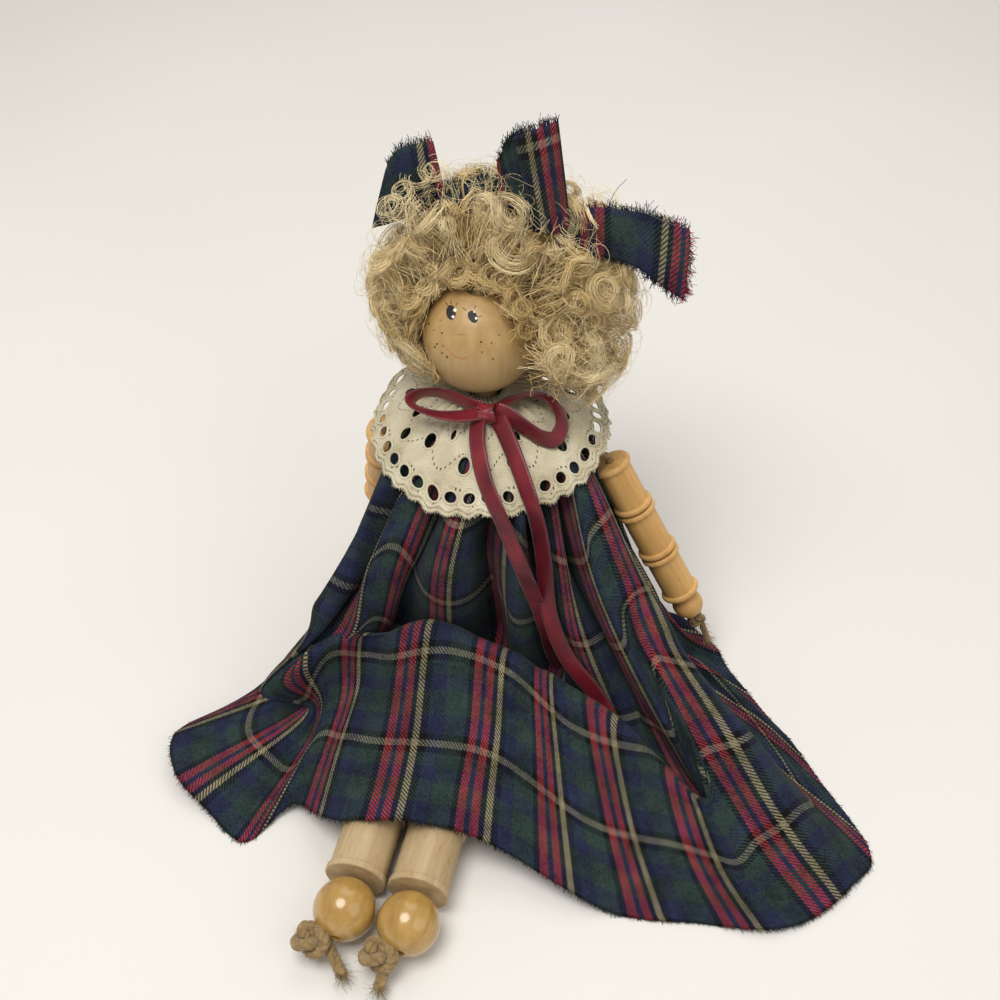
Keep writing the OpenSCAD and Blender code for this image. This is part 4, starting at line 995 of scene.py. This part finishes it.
def add_curl(centre, axis, size, strands, tone, slack, over=OVER_FACE):
    """A ring of strands round the axis, each led in from the filling below it."""
    root_way, deep = from_head(centre)
    sweep = hair_rng.choice([-1, 1]) * 2 * math.pi * hair_rng.uniform(1.05, 1.7)
    begin = hair_rng.random() * 2 * math.pi
    for _ in range(strands):
        lean = unit(axis + hair_rng.normal(0, 0.1, 3))
        right = unit(np.cross(lean, [0.31, 0.22, 0.92]))
        top = np.cross(right, lean)
        turn = begin + hair_rng.normal(0, 0.3) + sweep * hair_rng.uniform(0.9, 1.1) * s
        ring = size * hair_rng.uniform(0.55, 1.15) * (1 - 0.25 * s)
        heart = centre + hair_rng.normal(0, 0.4, 3)
        path = heart + coil(right, top, turn, ring) + lean * (hair_rng.uniform(-2.5, 2.5) * s)[:, None]
        root = HEAD_AT + unit(root_way + hair_rng.normal(0, 0.12, 3)) * (HEAD_R + 0.5 * (deep - HEAD_R))
        path = root * (1 - grow) + path * grow
        add_strand(off_face(held_in(path, slack), over), tone + hair_rng.normal(0, 0.16),
                   hair_rng.uniform(*CURL_GIRTHS))


for way in hair_ways(FILLING, -0.6, 0.06):
    reach = hair_reach(way) - HEAD_R
    side = unit(np.cross(way, hair_rng.normal(0, 1, 3)))
    droop = unit(side - 0.5 * UP)
    middle = (HEAD_AT + way * (HEAD_R + 0.3 + reach * hair_rng.uniform(0.5, 0.9) * np.sin(s * math.pi * 0.62))[:, None]
              + droop * (hair_rng.uniform(6, 20) * s ** 1.4)[:, None])
    ahead = unit(np.gradient(middle, axis=0))
    right = unit(np.cross(ahead, hair_rng.normal(0, 1, 3)))
    turn = 2 * math.pi * hair_rng.uniform(0.8, 2.0) * s + hair_rng.random() * 6
    girth = hair_rng.uniform(1.2, 3.4) * np.minimum(1, s * 3)
    path = middle + coil(right, np.cross(right, ahead), turn, girth)
    add_strand(off_face(held_in(path, -1.5)), hair_rng.uniform(*FILLING_SHADE_TONES), hair_rng.uniform(*FILLING_GIRTHS))
for way in hair_ways(CURLS, -0.5, 0.05):
    size = hair_rng.uniform(*CURL_SIZES)
    add_curl(HEAD_AT + way * hair_reach(way) * hair_rng.uniform(0.74, 0.98), unit(way + hair_rng.normal(0, 0.55, 3)),
             size, CURL_STRANDS, hair_rng.uniform(*CURL_LIT_TONES), 0.8)
hair_up_side = unit(np.cross(FACE_WAY, UP))
hair_up = np.cross(hair_up_side, FACE_WAY)
for place in np.linspace(-1.25, 1.6, FRINGE_CURLS):
    tilt = FACE_OPEN + hair_rng.uniform(-0.10, 0.10)
    way = FACE_WAY * math.cos(tilt) + math.sin(tilt) * (hair_up * math.cos(place) + hair_up_side * math.sin(place))
    add_curl(HEAD_AT + way * (HEAD_R + hair_rng.uniform(3.5, 9.0)), unit(way + hair_rng.normal(0, 0.4, 3)),
             hair_rng.uniform(*FRINGE_SIZES), CURL_STRANDS - 2, hair_rng.uniform(*FRINGE_TONES), 0.5, FRINGE_OVER)
big_way = unit(on_plane(*BIG_CURL_AT, HEAD_AT) - VIEW * BIG_CURL_OUT * 0.8 - HEAD_AT)
add_curl(HEAD_AT + big_way * BIG_CURL_OUT, unit(big_way - VIEW), BIG_CURL_R, 2 * CURL_STRANDS, 0.85, 3.0,
         BIG_CURL_OVER)
for px, py in BOW_WISPS:
    wisp_way = unit(on_plane(px, py, HEAD_AT) - VIEW * WISP_OUT - HEAD_AT)
    add_curl(HEAD_AT + wisp_way * (hair_reach(wisp_way) + WISP_STAND), unit(wisp_way - VIEW),
             hair_rng.uniform(*WISP_SIZES), 9, 0.95, 9.0)
for way in hair_ways(FLYAWAYS, -0.3):
    add_curl(HEAD_AT + way * hair_reach(way) * 0.98, unit(way + hair_rng.normal(0, 0.8, 3)),
             hair_rng.uniform(*FLYAWAY_SIZES), 1, 0.8, hair_rng.uniform(0.5, 6.5))
    girths[-1] = FLYAWAY_GIRTH
make_piece("curly_wig", *tubes(hair_paths, girths, 3, 0.7), hair_fibre, "head", "wig_curls", "hair_wig",
           tone=np.repeat(tones, STRAND_POINTS * 3))

# ---- hair bow
# One torn strip of the dress cloth, read off the photograph as panels with two long edges each on a plane at the bow.
BOW_FACING = unit(np.array([0.03, -0.89, 0.45]))
BOW_WEFT = 5.0
BOW_FRAY_PER_MM, BOW_FRAY_LONGEST, BOW_FRAY_R, LOOSE_R = 8, 2.2, 0.12, 0.14


def panel(name, low, high, seed, start_u, bulge, roll, waver=0.6, count=48, ribs=18):
    """Cloth between two edges, creased, bulged across and rolled back along its run; also its grid and cloth places."""
    low, high = spline(low, count), spline(high, count)
    s, t = np.linspace(0, 1, count)[:, None], np.linspace(0, 1, ribs + 1)
    points = low[:, None] * (1 - t)[None, :, None] + high[:, None] * t[None, :, None]
    crease = creases(np.random.default_rng(seed), s, t, (1, 2, 3, 4, 6), 1) * waver
    points += BOW_FACING * (bulge * np.sin(math.pi * t) + roll * np.sin(math.pi * s) + crease)[..., None]
    run = run_of(points[:, ribs // 2])
    wide = np.linalg.norm(high - low, axis=1).mean()
    uv = cloth_grid(start_u - run, t * wide + BOW_WEFT)
    piece = make_piece(name, points, grid_faces(count, ribs + 1), flannel, "head", "plaid_flannel", uv=uv,
                       thick=CLOTH_T)
    return piece, points, uv


def fringe(edge, inner, edge_uv, count, longest, noise):
    """Loose threads along an edge: paths and the cloth coordinates that colour them."""
    at = noise.random(count) * (len(edge) - 1)
    i = np.floor(at).astype(int)
    s = (at - i)[:, None]
    root, inside, place = (line[i] * (1 - s) + line[i + 1] * s for line in (edge, inner, edge_uv))
    way = unit(root - inside)
    lean = way + noise.normal(0, 0.28, (count, 3))
    reach = noise.uniform(0.3, 1.0, count)[:, None] * longest
    return threads(root, lean, noise.normal(0, 0.3, (count, 3)), reach, way * 0.4), place


bow_noise = np.random.default_rng(21)
BAND_AWAY = (-22, 14, -3)
# Each panel: its name, its low and its high edge as pixels, its plane's place from the bow, where the stripes start,
# how far it bulges and rolls, and whether it is frayed on all sides or on its high edge only.
PANELS = (
    ("bow_upright", ((534, 232), (546, 233), (557, 231), (570, 225)), ((514, 136), (528, 131), (542, 126), (558, 121)),
     (0, -3, 0), 16.6, 1.0, 4.6, False),
    ("bow_behind", ((506, 218), (518, 220), (530, 224), (546, 230)), ((497, 164), (505, 145), (517, 133), (532, 134)),
     (0, 3, 0), 31.5, -1.0, 2.0, False),
    ("bow_right_tail", ((558, 242), (594, 254), (632, 264), (660, 284), (684, 300)),
     ((560, 222), (592, 207), (632, 211), (664, 218), (690, 232)), (0, -2, 0), 44.0, 2.2, 1.5, True),
    ("bow_band", ((425, 222), (455, 214), (490, 214), (520, 226), (552, 238)),
     ((440, 186), (465, 178), (492, 176), (520, 190), (548, 216)), BAND_AWAY, 29.0, 3.0, 2.0, False),
    ("bow_left_end", ((372, 228), (392, 222), (420, 212), (448, 200)),
     ((386, 170), (396, 152), (412, 144), (433, 141)), BAND_AWAY, 27.5, 2.0, 2.5, False))


def on_bow(pixels, away):
    """Points of the bow's plane, moved by away, that pixels of the photograph show."""
    return np.array([on_plane(px, py, BOW_AT + away, BOW_FACING) for px, py in pixels])


bow_threads, bow_thread_uv = [], []
for seed, (name, low, high, away, start_u, bulge, roll, frayed_round) in enumerate(PANELS):
    piece, grid, uv = panel(name, on_bow(low, away), on_bow(high, away), seed, start_u, bulge, roll)
    if name == "bow_upright":
        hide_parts("hair_bow")
    edges = [(grid[:, -1], grid[:, -3], uv[:, -1])]
    if frayed_round:
        edges += [(grid[:, 0], grid[:, 2], uv[:, 0]), (grid[-1], grid[-3], uv[-1])]
    for edge_line, inner, edge_uv in edges:
        count = int(run_of(edge_line)[-1] * BOW_FRAY_PER_MM)
        paths, thread_uv = fringe(edge_line, inner, edge_uv, count, BOW_FRAY_LONGEST, bow_noise)
        bow_threads.append(paths)
        bow_thread_uv.append(thread_uv)
LOOSE_THREADS = (((606, 214), (611, 200), (618, 188), (627, 179)), ((608, 212), (626, 206), (652, 216), (676, 226)))
loose_tubes = tubes([spline(on_bow(pixels, (0, -4, 0)), 14) for pixels in LOOSE_THREADS], LOOSE_R, 4, 0.8)
dark_uv = np.tile([PLAID_REPEAT * 0.98, 0.0], (len(loose_tubes[0]), 1))
make_piece("bow_fray", *joined(tubes(np.vstack(bow_threads), BOW_FRAY_R, 3, 0.7), loose_tubes), flannel, "head",
           "plaid_flannel", uv=np.vstack([np.repeat(np.vstack(bow_thread_uv), 9, 0), dark_uv]))

# ---- face paint
# Thin strokes on the ball, placed by the photograph's pixels.
PAINT_LIFT = 0.12
EYES = (((451.2, 312.2), (6.0, 9.4), -0.1), ((472.8, 316.6), (5.6, 8.4), -0.5))
GLINTS = (((455.0, 310.2), 2.0), ((453.1, 316.8), 1.7), ((476.2, 318.4), 1.7), ((474.2, 312.0), 1.1))
LASHES = (((448.0, 306.0), (445.5, 301.5)), ((451.5, 305.0), (451.0, 300.5)), ((455.5, 306.0), (458.0, 302.5)),
          ((467.0, 311.0), (462.0, 307.5)), ((474.0, 309.0), (476.5, 305.0)), ((478.0, 317.0), (482.5, 316.0)))
NOSE = ((456.8, 336.0), (460.0, 334.2), (464.8, 335.6))
SMILE = ((444.5, 341.5), (446.5, 347.5), (452.5, 354.5), (461.5, 358.5), (470.0, 356.0), (475.0, 350.0))
FRECKLES = ((429, 324), (434, 330), (440.5, 320.6), (442, 333), (437, 344), (435, 347), (443, 346), (442, 353),
            (447, 357), (481, 342), (491.5, 343), (482, 352), (493, 359), (499, 335))


def blob(centre, radii, lean=0.0, lift=PAINT_LIFT, sides=18):
    """A domed dot of paint on the ball."""
    shares = (0.45, 0.8, 1.0)
    points = [on_head(*centre, lift)]
    for share in shares:
        for px, py in ellipse(0, 0, radii[0] * share, radii[1] * share, sides, lean):
            points.append(on_head(centre[0] + px, centre[1] + py, lift * (1 - share ** 4) + 0.02))
    faces = [(0, 1 + i, 1 + (i + 1) % sides) for i in range(sides)]
    for ring in range(len(shares) - 1):
        a, b = 1 + ring * sides, 1 + (ring + 1) * sides
        faces += [(a + i, b + i, b + (i + 1) % sides, a + (i + 1) % sides) for i in range(sides)]
    return np.array(points), faces


def stroke(pixels, width, lift=0.08, count=24):
    """A brush line on the ball that thins out at both ends."""
    line = spline(pixels, count)
    ahead = unit(np.gradient(line, axis=0))
    side = np.stack([-ahead[:, 1], ahead[:, 0]], 1)
    half = width / 2 * np.sin(np.linspace(0.12, math.pi - 0.12, count))[:, None] ** 0.6
    points = []
    for share, height in ((-1, 0.02), (0, lift), (1, 0.02)):
        points += [on_head(px, py, height) for px, py in line + side * half * share]
    return np.array(points), grid_faces(3, count).tolist()


def painted(name, parts, material):
    make_piece(name, *joined(*parts), material, "head", "head_wood")


eye_paint = gloss_paint("eye_paint", rgb(20, 18, 20), rgb(44, 40, 40), 0.65)
white_paint = gloss_paint("white_paint", rgb(236, 232, 222), rgb(250, 248, 242))
brown_paint = gloss_paint("freckle_paint", rgb(66, 44, 28), rgb(98, 66, 40), 0.6)
lip_paint = gloss_paint("smile_paint", rgb(172, 104, 74), rgb(190, 126, 90), 0.6)
painted("eyes", [blob(c, r, a) for c, r, a in EYES] + [stroke(line, 1.8, 0.16) for line in LASHES], eye_paint)
painted("eye_glints", [blob(c, (r, r), 0.0, 0.2) for c, r in GLINTS], white_paint)
painted("nose", [stroke(NOSE, 1.9)], brown_paint)
painted("smile", [stroke(SMILE, 1.3)], lip_paint)
freckle_rng = np.random.default_rng(5)
painted("freckles", [blob(c, (freckle_rng.uniform(0.8, 1.6), freckle_rng.uniform(0.7, 1.2)), freckle_rng.uniform(0, 3),
                          0.08, 10) for c in FRECKLES], brown_paint)

# ---- twine ends and knots
PLIES = 3
LAY = 5.5
PLY_R, PLY_OUT = 0.56, 0.48
WHISKERS, TIP_FIBRES, TIP_LONGEST, FIBRE_R = 160, 90, 5.0, 0.07


def laid_cord(path, radius, count):
    """Three plies twisted round a smooth path, as one set of tube paths."""
    line = spline(path, count)
    ahead = unit(np.gradient(line, axis=0))
    side = np.zeros_like(line)
    side[0] = unit(np.cross(ahead[0], [0.3, 0.5, 0.8]))
    for i in range(1, count):
        side[i] = unit(side[i - 1] - ahead[i] * (side[i - 1] @ ahead[i]))
    top = np.cross(ahead, side)
    turn = 2 * math.pi * run_of(line) / LAY
    return [line + coil(side, top, turn + 2 * math.pi * ply / PLIES, radius * PLY_OUT) for ply in range(PLIES)]


def whiskers(path, radius, count, noise, longest=2.2):
    """Loose fibres that stand off a cord."""
    line = spline(path, 80)
    i = noise.integers(0, 79, count)
    way = unit(noise.normal(0, 1, (count, 3)) + unit(np.gradient(line, axis=0))[i])
    root = line[i] + way * radius * 0.7
    reach = noise.uniform(0.3, 1.0, count)[:, None] * longest
    return threads(root, way, noise.normal(0, 0.4, (count, 3)), reach)


def frayed_tip(end, way, radius, count, noise, longest):
    spread = unit(way + noise.normal(0, 0.42, (count, 3)))
    root = end - way * 1.5 + noise.normal(0, radius * 0.35, (count, 3))
    reach = noise.uniform(0.4, 1.0, count)[:, None] * longest
    return threads(root, spread, noise.normal(0, 0.25, (count, 3)), reach)


def overhand(start, centre, end, size, way, up):
    """The path of an overhand knot: in from start, twice round the centre, out to end."""
    side = np.cross(way, up)
    ring = []
    for t in np.linspace(0.35, 2 * math.pi - 0.35, 15):
        across = math.sin(2 * t) * (2 + math.cos(3 * t)) / 3
        along = -math.cos(2 * t) * (2 + math.cos(3 * t)) / 3
        high = math.sin(3 * t) / 2.2
        ring.append(centre + size * (side * across + way * along * 0.85 + up * high))
    return np.array([start, *ring, end])


knot_rng = np.random.default_rng(31)


def knot_piece(limb, way, up, size, cord_r, aside, tail):
    """Replaces a CAD knot: laid cord from the bead's hole, a knot, and a frayed loose end."""
    bead_low, bead_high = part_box(limb + "_bead")
    bead_at = np.array(bead_low + bead_high) / 2 / MM
    bead_r = (bead_high - bead_low)[2] / 2 / MM
    centre = bead_at + way * (bead_r + size * 0.95) + aside
    end = centre + tail
    path = overhand(bead_at + way * (bead_r - 3.0), centre, end, size, way, up)
    fibres = np.vstack([whiskers(path, cord_r, WHISKERS, knot_rng),
                        frayed_tip(end, unit(tail), cord_r, TIP_FIBRES, knot_rng, TIP_LONGEST)])
    points, faces = joined(tubes(laid_cord(path, cord_r, 200), cord_r * PLY_R, 7), tubes(fibres, FIBRE_R, 3, 0.6))
    points[:, 2] = np.maximum(points[:, 2], 0.3)
    make_piece(limb + "_twine", points, faces, jute_twine, limb, "jute_twine", limb + "_knot")


FOOT_ASIDE = {"right": np.array([-6.5, 4.5, -1.0]), "left": np.array([-5.5, 4.5, -1.0])}
FOOT_TAILS = {"right": np.array([10.5, -9.0, -4.0]), "left": np.array([0.5, -9.0, -4.0])}
HAND_TAIL = 11.0
# The knots' sizes and their cords' radii.
FOOT_KNOT, HAND_KNOT = (5.0, 1.9), (2.5, 1.2)
for side, way in ARM_WAYS.items():
    knot_piece(side + "_foot", LEG_WAY, UP, *FOOT_KNOT, FOOT_ASIDE[side], FOOT_TAILS[side])
    knot_piece(side + "_hand", way, unit(np.cross(way, LEVEL)), *HAND_KNOT, np.zeros(3), way * HAND_TAIL)

# ---- floor, light, camera
FLOOR = 4000.0
floor_paint = Paint("floor", 0.9)
cloud = floor_paint.noise(3.0, floor_paint.place(), 2.0)
floor_colour = floor_paint.ramp(cloud, [(0.3, rgb(226, 224, 220)), (0.7, rgb(232, 230, 227))])
floor = make_piece("floor", [(-FLOOR, -FLOOR, 0), (FLOOR, -FLOOR, 0), (FLOOR, FLOOR, 0), (-FLOOR, FLOOR, 0)],
                   [(0, 1, 2, 3)], floor_paint.finish(floor_colour))

world = bpy.data.worlds.new("studio")
scene.world = world
world.use_nodes = True
sky = world.node_tree.nodes["Background"]
sky.inputs["Color"].default_value = (1.0, 0.98, 0.95, 1.0)
sky.inputs["Strength"].default_value = 0.42


def lamp(name, at, size, watts, colour=(1.0, 0.97, 0.92)):
    light = bpy.data.lights.new(name, "AREA")
    light.shape, light.size, light.energy, light.color = "DISK", size * MM, watts, colour
    made = bpy.data.objects.new(name, light)
    made.location = np.asarray(at, float) * MM
    made.rotation_euler = (Vector((0, -0.03, 0.05)) - made.location).to_track_quat("-Z", "Y").to_euler()
    scene.collection.objects.link(made)


lamp("key", (-200, -250, 1000), 600, 6.8)
lamp("fill", (700, -500, 700), 900, 2.0)
lamp("back", (100, 600, 900), 800, 2.2)

camera = bpy.data.objects.new("camera", bpy.data.cameras.new("camera"))
camera.data.lens, camera.data.sensor_width = CAMERA_LENS, SENSOR
camera.data.clip_start, camera.data.clip_end = 0.01, 50.0
camera.location = CAMERA_AT * MM
camera.rotation_euler = Vector(CAMERA_TARGET - CAMERA_AT).to_track_quat("-Z", "Y").to_euler()
scene.collection.objects.link(camera)
scene.camera = camera
scene.view_settings.view_transform = "Standard"
